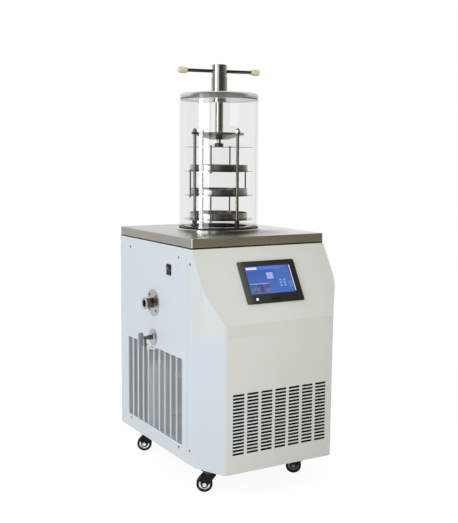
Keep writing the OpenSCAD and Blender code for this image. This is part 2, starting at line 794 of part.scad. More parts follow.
module cold_trap_vessel() {
  color("silver") in_frame() difference() {
    translate([0, 0, z_top]) rotate_extrude($fn = 96) {
      difference() {
        translate([0, -trap_depth]) square([trap_r + trap_wall, trap_depth + seat_h]);
        translate([-eps, -trap_depth + trap_wall]) square([trap_r + eps, trap_depth + seat_h]);
      }
      // Polished seat with a small chamfer
      polygon([[trap_r, 0], [seat_r, 0], [seat_r, seat_h - 2], [seat_r - 2, seat_h], [trap_r, seat_h]]);
    }
    // Openings of the vacuum port and of the drain
    translate([-trap_r - 5, 0, z_under - port_down]) rotate([0, 90, 0]) cylinder(r = port_bore_r, h = 20);
    translate([0, drain_y, z_top - trap_depth - eps]) cylinder(r = drain_pipe_r - 2, h = 5);
  }
}

coil_pitch = (trap_depth - 100) / coil_turns;

// A helical tube as one swept skin
module evaporator_coil() {
  sides = 8;
  n = coil_turns * coil_steps;
  z0 = z_top - trap_depth + 60;
  rings = [for (i = [0:n], k = [0:sides - 1]) let (a = 360 * i / coil_steps, b = 360 * k / sides,
    r = coil_r + coil_tube_r * cos(b))
    [r * cos(a), r * sin(a), z0 + coil_pitch * i / coil_steps + coil_tube_r * sin(b)]];
  skin = [for (i = [0:n - 1], k = [0:sides - 1]) let (a = i * sides + k, b = i * sides + (k + 1) % sides)
    each [[a, b + sides, b], [a, a + sides, b + sides]]];
  color("peru") in_frame() polyhedron(rings, concat(skin,
    [[for (k = [0:sides - 1]) k], [for (k = [sides - 1:-1:0]) n * sides + k]]));
}

module trap_insulation() {
  inner = foam_r - foam_t;
  z0 = z_top - trap_depth - foam_t;
  color("khaki") in_frame() translate([0, 0, z0]) difference() {
    cylinder(r = inner + foam_t, h = z_under - touch - z0);
    translate([0, 0, foam_t - touch]) cylinder(r = inner, h = trap_depth);
    // Channels for the vacuum port's tube and the drain pipe
    translate([-inner - foam_t - 5, 0, z_under - port_down - z0]) rotate([0, 90, 0])
      cylinder(r = port_tube_r + touch, h = foam_t + 8);
    translate([0, drain_y, -eps]) cylinder(r = drain_pipe_r + touch, h = foam_t + 1);
  }
}

// ---- Refrigeration unit ----

comp_at = [-20, -40];
comp_base = z_low + pan_t;
mount_h = 14;
comp_feet = [for (a = [45:90:315]) 104 * [cos(a), sin(a)]];

module compressor() {
  color("black") in_frame() translate([comp_at[0], comp_at[1], comp_base + mount_h]) {
    // Base plate with four ears
    linear_extrude(3) difference() {
      union() {
        circle(70);
        for (f = comp_feet) {
          translate(f) circle(16);
          rotate(atan2(f[1], f[0])) translate([0, -15]) square([norm(f), 30]);
        }
      }
      for (f = comp_feet) translate(f) circle(6.5);
    }
    // Pressed shell of two halves with a welded joint
    rotate_extrude() polygon(concat(
      [[0, 2], [comp_r - 22, 2]],
      [for (a = [-90:15:0]) [comp_r - 22 + 20 * cos(a), 24 + 20 * sin(a)]],
      [[comp_r - 2, comp_h * 0.55], [comp_r + 3, comp_h * 0.55], [comp_r + 3, comp_h * 0.55 + 6],
       [comp_r - 4, comp_h * 0.55 + 6]],
      [for (a = [0:15:90]) [comp_r - 44 + 40 * cos(a), comp_h - 40 + 40 * sin(a)]],
      [[0, comp_h]]));
    // Terminal cover
    translate([-comp_r - 18, -26, 60]) cube([30, 52, 62]);
  }
}

module compressor_mounts() {
  color("dimgray") in_frame() for (f = comp_feet)
    translate([comp_at[0] + f[0], comp_at[1] + f[1], comp_base]) difference() {
      union() {
        cylinder(r = 11, h = mount_h);
        cylinder(r = 6.2, h = mount_h + 5);
      }
      translate([0, 0, 2]) cylinder(r = 3.5, h = mount_h + 5);
    }
}

cond_at = y_nose + 24;
cond_base = z_low + pan_t;
tube_rows = 8;

module condenser() {
  fin_pitch = (cond_w - 6) / (cond_fins - 1);
  color("silver") in_frame() translate([0, cond_at, cond_base]) {
    for (i = [0:cond_fins - 1]) translate([-cond_w / 2 + 2.5 + i * fin_pitch, 2, 4])
      cube([1, cond_d - 4, cond_h - 8]);
    for (s = [-1, 1]) translate([s > 0 ? cond_w / 2 - 2 : -cond_w / 2, 0, 0]) cube([2, cond_d, cond_h]);
    for (r = [0:tube_rows - 1]) translate([-cond_w / 2 - 10, cond_d / 2, (r + 0.5) * cond_h / tube_rows])
      rotate([0, 90, 0]) cylinder(r = 5, h = cond_w + 20);
    // Return bends at both ends
    for (r = [0:tube_rows - 2]) let (s = r % 2 == 0 ? 1 : -1)
      translate([s * (cond_w / 2 + 10), cond_d / 2, (r + 1) * cond_h / tube_rows]) rotate([90, 0, 0])
        rotate([0, 0, s > 0 ? -90 : 90]) rotate_extrude(angle = 180)
          translate([cond_h / tube_rows / 2, 0]) circle(5);
  }
}

shroud_d = 34;
shroud_y = cond_at + cond_d + touch;
fan_z = cond_base + cond_h / 2;
fan_y = shroud_y + 24;

module fan_shroud() {
  color("dimgray") in_frame() translate([0, shroud_y, cond_base]) {
    difference() {
      translate([-cond_w / 2, 0, 0]) cube([cond_w, shroud_d, cond_h]);
      translate([-cond_w / 2 + 1.5, -eps, 1.5]) cube([cond_w - 3, shroud_d - 1.5 + eps, cond_h - 3]);
      translate([0, shroud_d + eps, cond_h / 2]) rotate([90, 0, 0]) cylinder(r = fan_r + 4, h = 10);
    }
    // Collar round the fan
    translate([0, shroud_d - 1, cond_h / 2]) rotate([-90, 0, 0]) tube(fan_r + 5.5, fan_r + 4, 14);
  }
}

motor_r = 38;
arm_back = 24;
motor_y = shroud_y + shroud_d + arm_back;

module fan_motor() {
  color("black") in_frame() translate([0, motor_y, fan_z]) rotate([-90, 0, 0]) {
    cylinder(r = motor_r, h = 48);
    translate([0, 0, 48]) cylinder(r1 = motor_r - 4, r2 = motor_r - 16, h = 6);
    translate([0, 0, fan_y - motor_y - 14]) cylinder(r = 3, h = motor_y - fan_y + 16);
    // Four bracket arms out to the collar
    for (a = [45:90:315]) rotate(a) {
      translate([motor_r - 3, -6, 4]) cube([fan_r + 6 - motor_r + 7, 12, 2.5]);
      translate([fan_r + 7.5, -6, touch - arm_back]) cube([2.5, 12, arm_back + 5]);
    }
  }
}

module fan_blades() {
  color("silver") in_frame() translate([0, fan_y - 12, fan_z]) rotate([-90, 0, 0]) difference() {
    union() {
      cylinder(r = 24, h = 24);
      for (i = [0:fan_blades_n - 1]) rotate(i * 360 / fan_blades_n)
        translate([20, 0, 12]) rotate([28, 0, 0]) translate([0, 0, -0.8]) linear_extrude(1.6)
          intersection() {
            translate([0, -22]) square([fan_r - 22, 44]);
            translate([-20, 0]) circle(fan_r - 1);
            translate([fan_r - 70, 0]) circle(52);
          }
    }
    translate([0, 0, -eps]) cylinder(r = 3 + pin_fit, h = 26);
  }
}

receiver_at = [-x_side + fold_w + receiver_r + 12, 96];

module liquid_receiver() {
  r = receiver_r;
  color("whitesmoke") in_frame() translate([receiver_at[0], receiver_at[1], z_low + pan_t]) {
    rotate_extrude() polygon(concat([[0, 12], [r - 10, 12]],
      [for (a = [-90:15:0]) [r - 12 + 12 * cos(a), 26 + 12 * sin(a)]],
      [for (a = [0:15:90]) [r - 20 + 20 * cos(a), receiver_h - 20 + 20 * sin(a)]],
      [[0, receiver_h]]));
    tube(r - 8, r - 11, 14);
    translate([0, 0, receiver_h - 2]) cylinder(r = 8, h = 14);
  }
}

pipe_r = 4;
bend_r = 14;

// A pipe that leaves the origin along +X; after each run it bends by 90 degrees, and each turn is the
// angle about its own direction that the bend leans to
module pipe_run(runs, turns, i = 0) {
  rotate([0, 90, 0]) cylinder(r = pipe_r, h = runs[i]);
  if (i < len(turns)) translate([runs[i], 0, 0]) rotate([turns[i], 0, 0]) {
    translate([0, bend_r, 0]) rotate(-90) rotate_extrude(angle = 90) translate([bend_r, 0]) circle(pipe_r);
    translate([bend_r, bend_r, 0]) rotate(90) pipe_run(runs, turns, i + 1);
  }
}

// Gas line from the dome to the condenser, and liquid and suction lines to the cold trap
module refrigerant_pipes() {
  z_foam = z_top - trap_depth - foam_t - touch;
  z_dome = comp_base + mount_h + comp_h + touch;
  x_cond = -cond_w / 2 - 10 - touch;
  y_cond = cond_at + cond_d / 2;
  row = cond_h / tube_rows;
  z_gas = cond_base + cond_h - row / 2;
  z_out = z_low + pan_t + receiver_h + 12 + touch;
  climb = z_foam - z_out - 2 * bend_r;
  z_suction = comp_base + mount_h + comp_h * 0.55 + 20;
  color("peru") in_frame() {
    translate([x_cond, y_cond, z_gas]) rotate(180)
      pipe_run([4, comp_at[1] - y_cond - 2 * bend_r, comp_at[0] - 26 - bend_r - x_cond,
        z_gas - bend_r - z_dome], [180, 0, 90]);
    translate([x_cond, y_cond, cond_base + row / 2]) rotate(180)
      pipe_run([4, receiver_at[1] - receiver_r + 4 - y_cond - bend_r], [180]);
    translate([receiver_at[0], receiver_at[1], z_out]) rotate([0, -90, 0])
      pipe_run([climb * 0.15, -50 - receiver_at[0] - 2 * bend_r, climb * 0.85], [-90, 180]);
    translate([comp_at[0], comp_at[1] + comp_r - 4 + touch, z_suction]) rotate(90)
      pipe_run([8, z_foam - z_suction - bend_r], [90]);
  }
}

module control_box() {
  color("lightgray") in_frame() translate([100, 110, z_low + pan_t]) {
    difference() {
      cube([110, 100, 200]);
      translate([-eps, 1.5, 1.5]) cube([108.5, 97, 197]);
    }
    translate([-1.5, 0, 0]) cube([1.5, 100, 200]);
  }
}

// ---- Chamber ----

lip_in = 0.5;

// The jar stands on one ring, and the lid lies on another
module chamber_gasket() {
  color("black") in_frame() {
    translate([0, 0, z_seat]) tube(jar_r + 2, trap_r + 1, gasket_t);
    translate([0, 0, z_lid - gasket_t]) tube(lid_r - lip_in, jar_r - jar_wall - 3, gasket_t);
  }
}

module chamber_cylinder() {
  color([0.9, 0.95, 1, 0.3]) in_frame() translate([0, 0, z_gasket])
    rotate_extrude($fn = 96) translate([jar_r - jar_wall, 0]) square([jar_wall, jar_h]);
}

spigot_r = 18;

module chamber_lid() {
  color([0.8, 0.85, 0.9, 0.4]) in_frame() translate([0, 0, z_lid]) rotate_extrude($fn = 96) difference() {
    union() {
      square([lid_r, lid_t - lid_round]);
      square([lid_r - lid_round, lid_t]);
      translate([lid_r - lid_round, lid_t - lid_round]) circle(lid_round);
    }
    translate([-eps, -eps]) square([spigot_r + 0.2 + eps, lid_t + 2 * eps]);
  }
}

// Sleeve with a spigot through the lid and a clamp ring under it
module press_sleeve() {
  color("silver") in_frame() translate([0, 0, z_lid]) difference() {
    union() {
      translate([0, 0, lid_t]) cylinder(r = sleeve_r, h = sleeve_h);
      translate([0, 0, -8]) cylinder(r = spigot_r, h = lid_t + 9);
      translate([0, 0, -8]) cylinder(r = sleeve_r - 3, h = 8);
    }
    translate([0, 0, -10]) cylinder(r = rod_r + slide_fit, h = lid_t + sleeve_h + 20);
  }
}

rod_top = z_bar - bar_r - 3;

module handle_hub() {
  color("silver") in_frame() rotate(bar_turn) difference() {
    translate([0, 0, z_hub]) rotate_extrude() {
      square([hub_r - 1.5, hub_h]);
      square([hub_r, hub_h - 1.5]);
      translate([hub_r - 1.5, hub_h - 1.5]) circle(1.5);
    }
    translate([0, 0, z_hub - eps]) cylinder(r = rod_r + slide_fit, h = rod_top + 1 - z_hub + eps);
    translate([-hub_r - eps, 0, z_bar]) rotate([0, 90, 0])
      cylinder(r = bar_r + pin_fit, h = 2 * (hub_r + eps));
  }
}

module handle_bar() {
  color("dimgray") in_frame() rotate(bar_turn) translate([-bar_reach + 4, 0, z_bar]) rotate([0, 90, 0])
    cylinder(r = bar_r, h = 2 * (bar_reach - 4));
}

module handle_caps() {
  color("wheat") in_frame() rotate(bar_turn) for (s = [-1, 1])
    translate([s * bar_reach, 0, z_bar]) rotate([0, -s * 90, 0]) rotate_extrude() difference() {
      polygon([[0, 0], [cap_r - 3, 0], [cap_r, 4], [cap_r, cap_len - 10], [cap_r - 2.5, cap_len],
        [0, cap_len]]);
      translate([-eps, 4 - pin_fit]) square([bar_r + pin_fit + eps, cap_len]);
    }
}

rod_low = z_bridge - bridge_boss + 4;

module press_rod() {
  color("silver") in_frame() {
    translate([0, 0, rod_low]) cylinder(r = rod_r, h = rod_top - rod_low);
    translate([0, 0, z_foot_top - 8]) cylinder(r = spindle_r, h = rod_low - z_foot_top + 9);
  }
}

module press_foot() {
  color("black") in_frame() translate([0, 0, z_shelf_high]) difference() {
    rotate_extrude() polygon([[0, 0], [foot_r, 0], [foot_r, foot_h - 3], [foot_r - 3, foot_h], [0, foot_h]]);
    translate([0, 0, foot_h - 8 - pin_fit]) cylinder(r = spindle_r + pin_fit, h = 10);
  }
}

// ---- Shelf rack ----

module bridge_plate() {
  color("silver") in_frame() translate([0, 0, z_bridge]) difference() {
    union() {
      // Turned plate, thick in the middle
      rotate_extrude() polygon([[0, 0], [bridge_r, 0], [bridge_r, -bridge_t], [30, -bridge_boss],
        [0, -bridge_boss]]);
      // Ears out to the guide rods
      translate([0, 0, -bridge_t]) linear_extrude(bridge_t) for (a = guide_turns) {
        translate(polar(guide_pcd_r, a)) circle(10);
        rotate(a) translate([-9, -guide_pcd_r]) square([18, guide_pcd_r]);
      }
    }
    translate([0, 0, -bridge_boss - eps]) cylinder(r = rod_r + slide_fit, h = bridge_boss + 2 * eps);
    for (a = guide_turns) translate(concat(polar(guide_pcd_r, a), -bridge_t - eps))
      cylinder(r = guide_r - 1 + pin_fit, h = bridge_t + 2 * eps);
  }
}

module guide_rods() {
  z0 = z_gasket + rack_base_t;
  color("silver") in_frame() for (a = guide_turns) translate(concat(polar(guide_pcd_r, a), z0)) {
    cylinder(r = guide_r, h = z_bridge - bridge_t - z0);
    cylinder(r = guide_r - 1, h = z_bridge + 8 - z0);
  }
}

module rod_nuts() {
  color("silver") in_frame() for (a = guide_turns)
    translate(concat(polar(guide_pcd_r, a), z_bridge)) difference() {
      union() {
        cylinder(r = 8, h = 7, $fn = 6);
        rotate_extrude() intersection() {
          translate([0, 7]) circle(6.4);
          translate([0, 6]) square([8, 10]);
        }
      }
      translate([0, 0, -eps]) cylinder(r = guide_r - 1 + pin_fit, h = 8.2 + eps);
    }
}

module rack_base() {
  color("silver") in_frame() translate([0, 0, z_gasket]) {
    tube(shelf_r, trap_r - 4, rack_base_t);
    // Collars round the feet of the guide rods, which the lowest shelf stands on
    for (a = guide_turns) translate(concat(polar(guide_pcd_r, a), 0)) difference() {
      cylinder(r = 8, h = z_shelf_low - shelf_t - z_gasket);
      translate([0, 0, rack_base_t]) cylinder(r = guide_r + pin_fit, h = 60);
    }
  }
}

// One shelf with its guide holes, and holes for the hangers above and below it
module shelf(level) {
  turns = concat(level > 0 ? hanger_turns[level - 1] : [], level < 3 ? hanger_turns[level] : []);
  color("whitesmoke") in_frame() translate([0, 0, z_shelf_high - level * shelf_pitch - shelf_t])
    linear_extrude(shelf_t) difference() {
      circle(shelf_r, $fn = 96);
      for (a = guide_turns) translate(polar(guide_pcd_r, a)) circle(guide_r + slide_fit);
      for (a = turns) translate(polar(hanger_pcd_r, a)) circle(hanger_r + slide_fit);
    }
}

module shelf_1() shelf(0);
module shelf_2() shelf(1);
module shelf_3() shelf(2);
module shelf_4() shelf(3);

// A tray stands on shelf level + 1
module tray(level) {
  color("silver") in_frame() translate([0, 0, z_shelf_high - level * shelf_pitch]) rotate_extrude($fn = 96) {
    difference() {
      square([tray_r - 1, tray_h]);
      translate([-eps, tray_wall]) square([tray_r - 1 - tray_wall + eps, tray_h]);
    }
    // Rolled rim
    translate([tray_r - 1.2, tray_h - 1.2]) circle(1.2);
  }
}

module tray_1() tray(1);
module tray_2() tray(2);
module tray_3() tray(3);

nut_h = 3.2;

// A pair of hangers: a nut rests on the upper shelf, and a nut below carries the lower one
module hangers(level) {
  z0 = z_shelf_high - (level + 1) * shelf_pitch - shelf_t;
  color("silver") in_frame() for (a = hanger_turns[level])
    translate(concat(polar(hanger_pcd_r, a), z0)) {
      translate([0, 0, -nut_h - 2]) cylinder(r = hanger_r, h = shelf_pitch + shelf_t + 2 * nut_h + 4);
      translate([0, 0, -nut_h]) cylinder(r = 4.6, h = nut_h, $fn = 6);
      translate([0, 0, shelf_pitch + shelf_t]) cylinder(r = 4.6, h = nut_h, $fn = 6);
    }
}

module hangers_1() hangers(0);
module hangers_2() hangers(1);
module hangers_3() hangers(2);

// ---- Castors ----

castor_plate = 50;
castor_bolt = 18;
plate_t = 3;
swivel_r = 17;
swivel_h = 7;
king_r = 6;
fork_t = 3;
z_wheel = wheel_r;
z_fork = z_mount - plate_t - swivel_h;

module castor_plates() {
  color("black") in_frame() for (at = castor_at) translate([at[0], at[1], z_mount - plate_t]) {
    difference() {
      linear_extrude(plate_t) round_rect(castor_plate, castor_plate, 5);
      for (x = [-1, 1], y = [-1, 1]) translate([x * castor_bolt, y * castor_bolt, -eps])
        cylinder(r = 3.2, h = plate_t + 2 * eps);
    }
    translate([0, 0, -3]) cylinder(r = swivel_r, h = 4);
    translate([0, 0, -swivel_h - fork_t - 3]) cylinder(r = king_r, h = swivel_h + fork_t + 3);
    translate([0, 0, -swivel_h - fork_t - 4]) cylinder(r = king_r + 4, h = 3);
  }
}

// Side outline of a fork cheek: a hood over the wheel that narrows to the axle
module cheek_outline() {
  difference() {
    union() {
      translate([castor_trail, z_wheel]) circle(11);
      polygon([[-swivel_r + 1, z_fork], [swivel_r + 6, z_fork], [castor_trail + 17, z_wheel + 18],
        [castor_trail + 10.6, z_wheel + 3], [castor_trail - 9.5, z_wheel - 5.5], [-8, z_fork - 13],
        [-swivel_r + 1, z_fork - fork_t]]);
    }
  }
}

module castor_fork(i) {
  color("black") in_frame() translate([castor_at[i][0], castor_at[i][1], 0]) rotate(castor_turn[i]) {
    difference() {
      union() {
        translate([0, 0, z_fork - fork_t]) linear_extrude(fork_t) difference() {
          union() {
            circle(swivel_r);
            translate([-8, -wheel_w / 2 - 1 - fork_t]) square([swivel_r + 13, wheel_w + 2 + 2 * fork_t]);
          }
          circle(king_r + pin_fit);
        }
        // Raceway that turns under the plate
        translate([0, 0, z_fork - 0.1]) tube(swivel_r - 1, king_r + pin_fit, swivel_h - 3 - touch + 0.1);
        for (s = [-1, 1]) translate([0, s * (wheel_w / 2 + 1 + fork_t / 2) + fork_t / 2, 0])
          rotate([90, 0, 0]) linear_extrude(fork_t) cheek_outline();
      }
    }
    // Axle bolt with its two heads
    translate([castor_trail, -wheel_w / 2 - 1 - fork_t - 2.5, z_wheel]) rotate([-90, 0, 0]) {
      cylinder(r = axle_r, h = wheel_w + 2 + 2 * fork_t + 5);
      cylinder(r = 7, h = 2.6, $fn = 6);
      translate([0, 0, wheel_w + 2 + 2 * fork_t + 2.4]) cylinder(r = 7, h = 2.6, $fn = 6);
    }
  }
}

module castor_fork_front_left() castor_fork(0);
module castor_fork_front_right() castor_fork(1);
module castor_fork_rear_left() castor_fork(2);
module castor_fork_rear_right() castor_fork(3);

// A turned wheel: rounded tread, recessed web and a hub bored for the axle
module castor_wheel(i) {
  hw = wheel_w / 2;
  color("darkslategray") in_frame() translate([castor_at[i][0], castor_at[i][1], 0]) rotate(castor_turn[i])
    translate([castor_trail, 0, z_wheel]) rotate([90, 0, 0]) rotate_extrude()
      difference() {
        union() {
          translate([axle_r + pin_fit, -hw]) square([wheel_r - 3 - axle_r - pin_fit, wheel_w]);
          translate([wheel_r - 4, -hw + 3]) square([4, wheel_w - 6]);
          for (s = [-1, 1]) translate([wheel_r - 3, s * (hw - 3)]) circle(3);
        }
        for (s = [-1, 1]) translate([10, s > 0 ? hw - 4 : -hw - eps]) square([wheel_r - 18, 4 + eps]);
      }
}

module castor_wheel_front_left() castor_wheel(0);
module castor_wheel_front_right() castor_wheel(1);
module castor_wheel_rear_left() castor_wheel(2);
module castor_wheel_rear_right() castor_wheel(3);

welded_frame();
left_side_panel();
right_side_panel();
back_panel();
front_cover();
top_plate();
panel_screws();
touch_panel_housing();
touch_screen();
switch_housing();
switch_rocker();
power_inlet();
vacuum_port();
drain_flange();
drain_valve();
drain_lever();
cold_trap_vessel();
evaporator_coil();
trap_insulation();
compressor();
compressor_mounts();
condenser();
fan_shroud();
fan_motor();
fan_blades();
liquid_receiver();
refrigerant_pipes();
control_box();
chamber_gasket();
chamber_cylinder();
chamber_lid();
press_sleeve();
handle_hub();
handle_bar();
handle_caps();
press_rod();
press_foot();
bridge_plate();
guide_rods();
rod_nuts();
rack_base();
shelf_1();
shelf_2();
shelf_3();
shelf_4();
tray_1();
tray_2();
tray_3();
hangers_1();
hangers_2();
hangers_3();
castor_plates();
castor_fork_front_left();
castor_fork_front_right();
castor_fork_rear_left();
castor_fork_rear_right();
castor_wheel_front_left();
castor_wheel_front_right();
castor_wheel_rear_left();
castor_wheel_rear_right();
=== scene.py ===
# %% [markdown]
# # A freeze dryer, dressed from its CAD model
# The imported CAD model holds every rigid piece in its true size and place. This notebook loads it as a
# fixed frame, gives each piece the finish that it has in a laboratory, adds the small trim that CAD left
# out, and sets up a plain bright studio round it.

# %% Load the frame
import json
import math

import bpy
import numpy as np
from mathutils import Matrix, Vector


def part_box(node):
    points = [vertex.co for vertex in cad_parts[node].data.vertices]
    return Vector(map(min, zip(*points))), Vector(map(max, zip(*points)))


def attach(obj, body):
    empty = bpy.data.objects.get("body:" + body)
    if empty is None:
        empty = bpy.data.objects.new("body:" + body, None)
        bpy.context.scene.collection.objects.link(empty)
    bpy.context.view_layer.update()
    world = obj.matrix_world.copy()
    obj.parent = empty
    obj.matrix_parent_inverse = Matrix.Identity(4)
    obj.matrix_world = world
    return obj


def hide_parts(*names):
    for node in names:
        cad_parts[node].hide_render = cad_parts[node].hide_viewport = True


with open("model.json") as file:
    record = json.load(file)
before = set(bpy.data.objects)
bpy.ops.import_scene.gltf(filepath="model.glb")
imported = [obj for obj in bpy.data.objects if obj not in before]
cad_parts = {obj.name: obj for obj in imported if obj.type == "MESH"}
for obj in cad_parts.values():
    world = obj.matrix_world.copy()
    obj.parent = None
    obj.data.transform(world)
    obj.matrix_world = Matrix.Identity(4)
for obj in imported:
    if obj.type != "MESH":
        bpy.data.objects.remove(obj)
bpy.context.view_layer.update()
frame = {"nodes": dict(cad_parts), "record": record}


# %% [markdown]
# ## Places on the machine
# Every position below is read from the boxes of the CAD nodes, so a piece goes where the model says. The
# chamber axis is the middle of the lid, and the side panel's box gives the plane of the left side.

# %% Places
LID_LOW, LID_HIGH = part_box("chamber_lid")
AXIS = ((LID_LOW.x + LID_HIGH.x) / 2, (LID_LOW.y + LID_HIGH.y) / 2)
JAR_LOW, JAR_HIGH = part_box("chamber_cylinder")
JAR_R = (JAR_HIGH.x - JAR_LOW.x) / 2
RACK_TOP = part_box("rod_nuts")[1].z + 0.005
PANEL_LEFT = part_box("left_side_panel")[0].x
COVER_LOW, COVER_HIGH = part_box("front_cover")
print("chamber axis", [round(v, 4) for v in AXIS], "jar radius", round(JAR_R, 4))


# %% [markdown]
# ## The camera
# A 60 mm lens stands three metres away, a little left of the machine and at the height of the chamber's
# foot, and looks slightly down. A Track To constraint would aim it too, but it can't hold the small roll,
# so its matrix is written out, with the right, up and back directions as columns.

# %% Camera
YAW, PITCH, ROLL = math.radians(30.5326), math.radians(6.9483), math.radians(0.4394)
EYE_LEFT, EYE_AHEAD, EYE_UP = 1.46608, 2.55781, 0.95237
EYE = Vector((AXIS[0] - EYE_LEFT, AXIS[1] - EYE_AHEAD, COVER_LOW.z + EYE_UP))
LENS_MM = 60.22
SENSOR_MM = 36


def studio_camera():
    """Ahead follows from yaw and pitch; roll turns right and up about it."""
    ahead = Vector((math.sin(YAW) * math.cos(PITCH), math.cos(YAW) * math.cos(PITCH), -math.sin(PITCH)))
    level = Vector((math.cos(YAW), -math.sin(YAW), 0))
    rise = level.cross(ahead)
    right = math.cos(ROLL) * level + math.sin(ROLL) * rise
    up = -math.sin(ROLL) * level + math.cos(ROLL) * rise
    data = bpy.data.cameras.new("camera")
    data.sensor_width = SENSOR_MM
    data.lens = LENS_MM
    data.clip_end = 50
    camera = bpy.data.objects.new("camera", data)
    bpy.context.scene.collection.objects.link(camera)
    turn = Matrix((right, up, -ahead)).transposed().to_4x4()
    camera.matrix_world = Matrix.Translation(EYE) @ turn
    bpy.context.scene.camera = camera
    return camera


camera = studio_camera()
print("camera at", tuple(round(v, 3) for v in camera.location))


# %% [markdown]
# ## A small language for shader maths
# Node trees are easier to read as formulas. The class below wraps an output socket; an operator on it
# adds the Math node that does the sum. Colours go through the method `mix`, because a Math node would
# turn them grey.

# %% Sockets as numbers
class Socket:
    """An output of a node tree that can be used in Python arithmetic."""

    def __init__(self, sheet, out):
        self.sheet = sheet
        self.out = out

    def math(self, operation, *others):
        """A Math node with this socket as its first value."""
        return self.sheet.node("ShaderNodeMath", {"operation": operation}, self, *others)

    def math_after(self, operation, first):
        """A Math node with this socket as its second value."""
        return self.sheet.node("ShaderNodeMath", {"operation": operation}, first, self)

    def __add__(self, other):
        return self.math("ADD", other)

    def __radd__(self, other):
        return self.math("ADD", other)

    def __sub__(self, other):
        return self.math("SUBTRACT", other)

    def __rsub__(self, other):
        return self.math_after("SUBTRACT", other)

    def __mul__(self, other):
        return self.math("MULTIPLY", other)

    def __rmul__(self, other):
        return self.math("MULTIPLY", other)

    def __truediv__(self, other):
        return self.math("DIVIDE", other)

    def __rtruediv__(self, other):
        return self.math_after("DIVIDE", other)

    def __pow__(self, other):
        return self.math("POWER", other)

    def __rpow__(self, other):
        return self.math_after("POWER", other)

    def __abs__(self):
        return self.math("ABSOLUTE")

    def __lt__(self, other):
        return self.math("LESS_THAN", other)

    def __gt__(self, other):
        return self.math("GREATER_THAN", other)

    def clamp(self, low=0.0, high=1.0):
        """The value, kept between two limits."""
        return self.math("MAXIMUM", low).math("MINIMUM", high)


class Sheet:
    """A material's or the world's node tree."""

    def __init__(self, tree):
        self.tree = tree
        tree.nodes.clear()

    def node(self, kind, settings=None, *values, out=0, at=None, **named):
        """Add a node. Settings come first, since they can change which sockets it has. Values go to its
        sockets in order, at those with the given numbers, or to those with the given names."""
        made = self.tree.nodes.new(kind)
        for key, value in (settings or {}).items():
            if key == "stops":
                ramp = made.color_ramp
                ramp.interpolation = "LINEAR"
                while len(ramp.elements) < len(value):
                    ramp.elements.new(1.0)
                for element, (place, colour) in zip(ramp.elements, value):
                    element.position = place
                    element.color = (*colour, 1)
            else:
                setattr(made, key, value)
        for key, value in [*zip(at or range(len(values)), values),
                           *((k.replace("_", " "), v) for k, v in named.items())]:
            target = made.inputs[key]
            if isinstance(value, Socket):
                self.tree.links.new(value.out, target)
            elif value is not None:
                target.default_value = (*value, 1) if target.type == "RGBA" else value
        return Socket(self, made.outputs[out])

    def place(self, move=(0, 0, 0), scale=(1, 1, 1)):
        """Object coordinates, moved and scaled."""
        where = self.node("ShaderNodeTexCoord", out="Object")
        return self.node("ShaderNodeMapping", {"vector_type": "POINT"}, Vector=where, Location=move,
                         Scale=scale)

    def axes(self, where):
        """The three numbers of a position."""
        first = self.node("ShaderNodeSeparateXYZ", None, where)
        return [Socket(self, out) for out in first.out.node.outputs]

    def noise(self, where, scale, detail=2, rough=0.5):
        """Soft grain: its size is about one over the scale, in metres."""
        return self.node("ShaderNodeTexNoise", None, Vector=where, Scale=scale, Detail=detail,
                         Roughness=rough)

    def rays(self, *kinds):
        """One on rays of any of these kinds, such as Camera or Glossy, and zero on the others."""
        path = self.node("ShaderNodeLightPath").out.node.outputs
        first, *others = (Socket(self, path[f"Is {kind} Ray"]) for kind in kinds)
        for other in others:
            first = first.math("MAXIMUM", other)
        return first

    def mix(self, share, a, b):
        """Colour a where share is 0, colour b where it is 1."""
        return self.node("ShaderNodeMix", {"data_type": "RGBA"}, share, a, b, at=(0, 6, 7), out=2)

    def bump(self, height, strength, distance):
        """A normal tilted as if the surface rose and fell with the height."""
        return self.node("ShaderNodeBump", None, Strength=strength, Distance=distance, Height=height)

    def finish(self, shader, kind="ShaderNodeOutputMaterial"):
        """Join the shader to the output."""
        end = self.tree.nodes.new(kind)
        self.tree.links.new(shader.out, end.inputs[0])


def material(name):
    """A new material, and the empty sheet of its nodes."""
    made = bpy.data.materials.new(name)
    made.use_nodes = True
    return made, Sheet(made.node_tree)


print("shader helpers ready")


# %% [markdown]
# ## Studio light
# The machine stands on a pale floor before a white backdrop. Two soft lamps and an even sky give plain
# light. Metal shows whatever stands round it, so the sky that only reflections see has bright and dark
# bands, like a studio with a window on one side and an unlit wall on the other.

# %% World
TO_CAMERA = math.atan2(EYE.y - AXIS[1], EYE.x - AXIS[0])
ONCE_ROUND = 2 * math.pi
ROOM_BANDS = [
    (0.00, (0.95, 0.95, 0.94)), (0.10, (0.80, 0.80, 0.80)), (0.18, (0.55, 0.54, 0.55)),
    (0.23, (0.22, 0.22, 0.22)), (0.42, (0.20, 0.20, 0.20)), (0.50, (0.11, 0.11, 0.105)),
    (0.54, (0.05, 0.048, 0.045)), (0.64, (0.06, 0.056, 0.05)), (0.70, (0.12, 0.11, 0.08)),
    (0.77, (0.23, 0.22, 0.16)), (0.82, (0.33, 0.32, 0.26)), (0.89, (0.60, 0.59, 0.54)),
    (0.97, (0.95, 0.95, 0.94))]
SKY_COLOUR = (0.50, 0.51, 0.525)


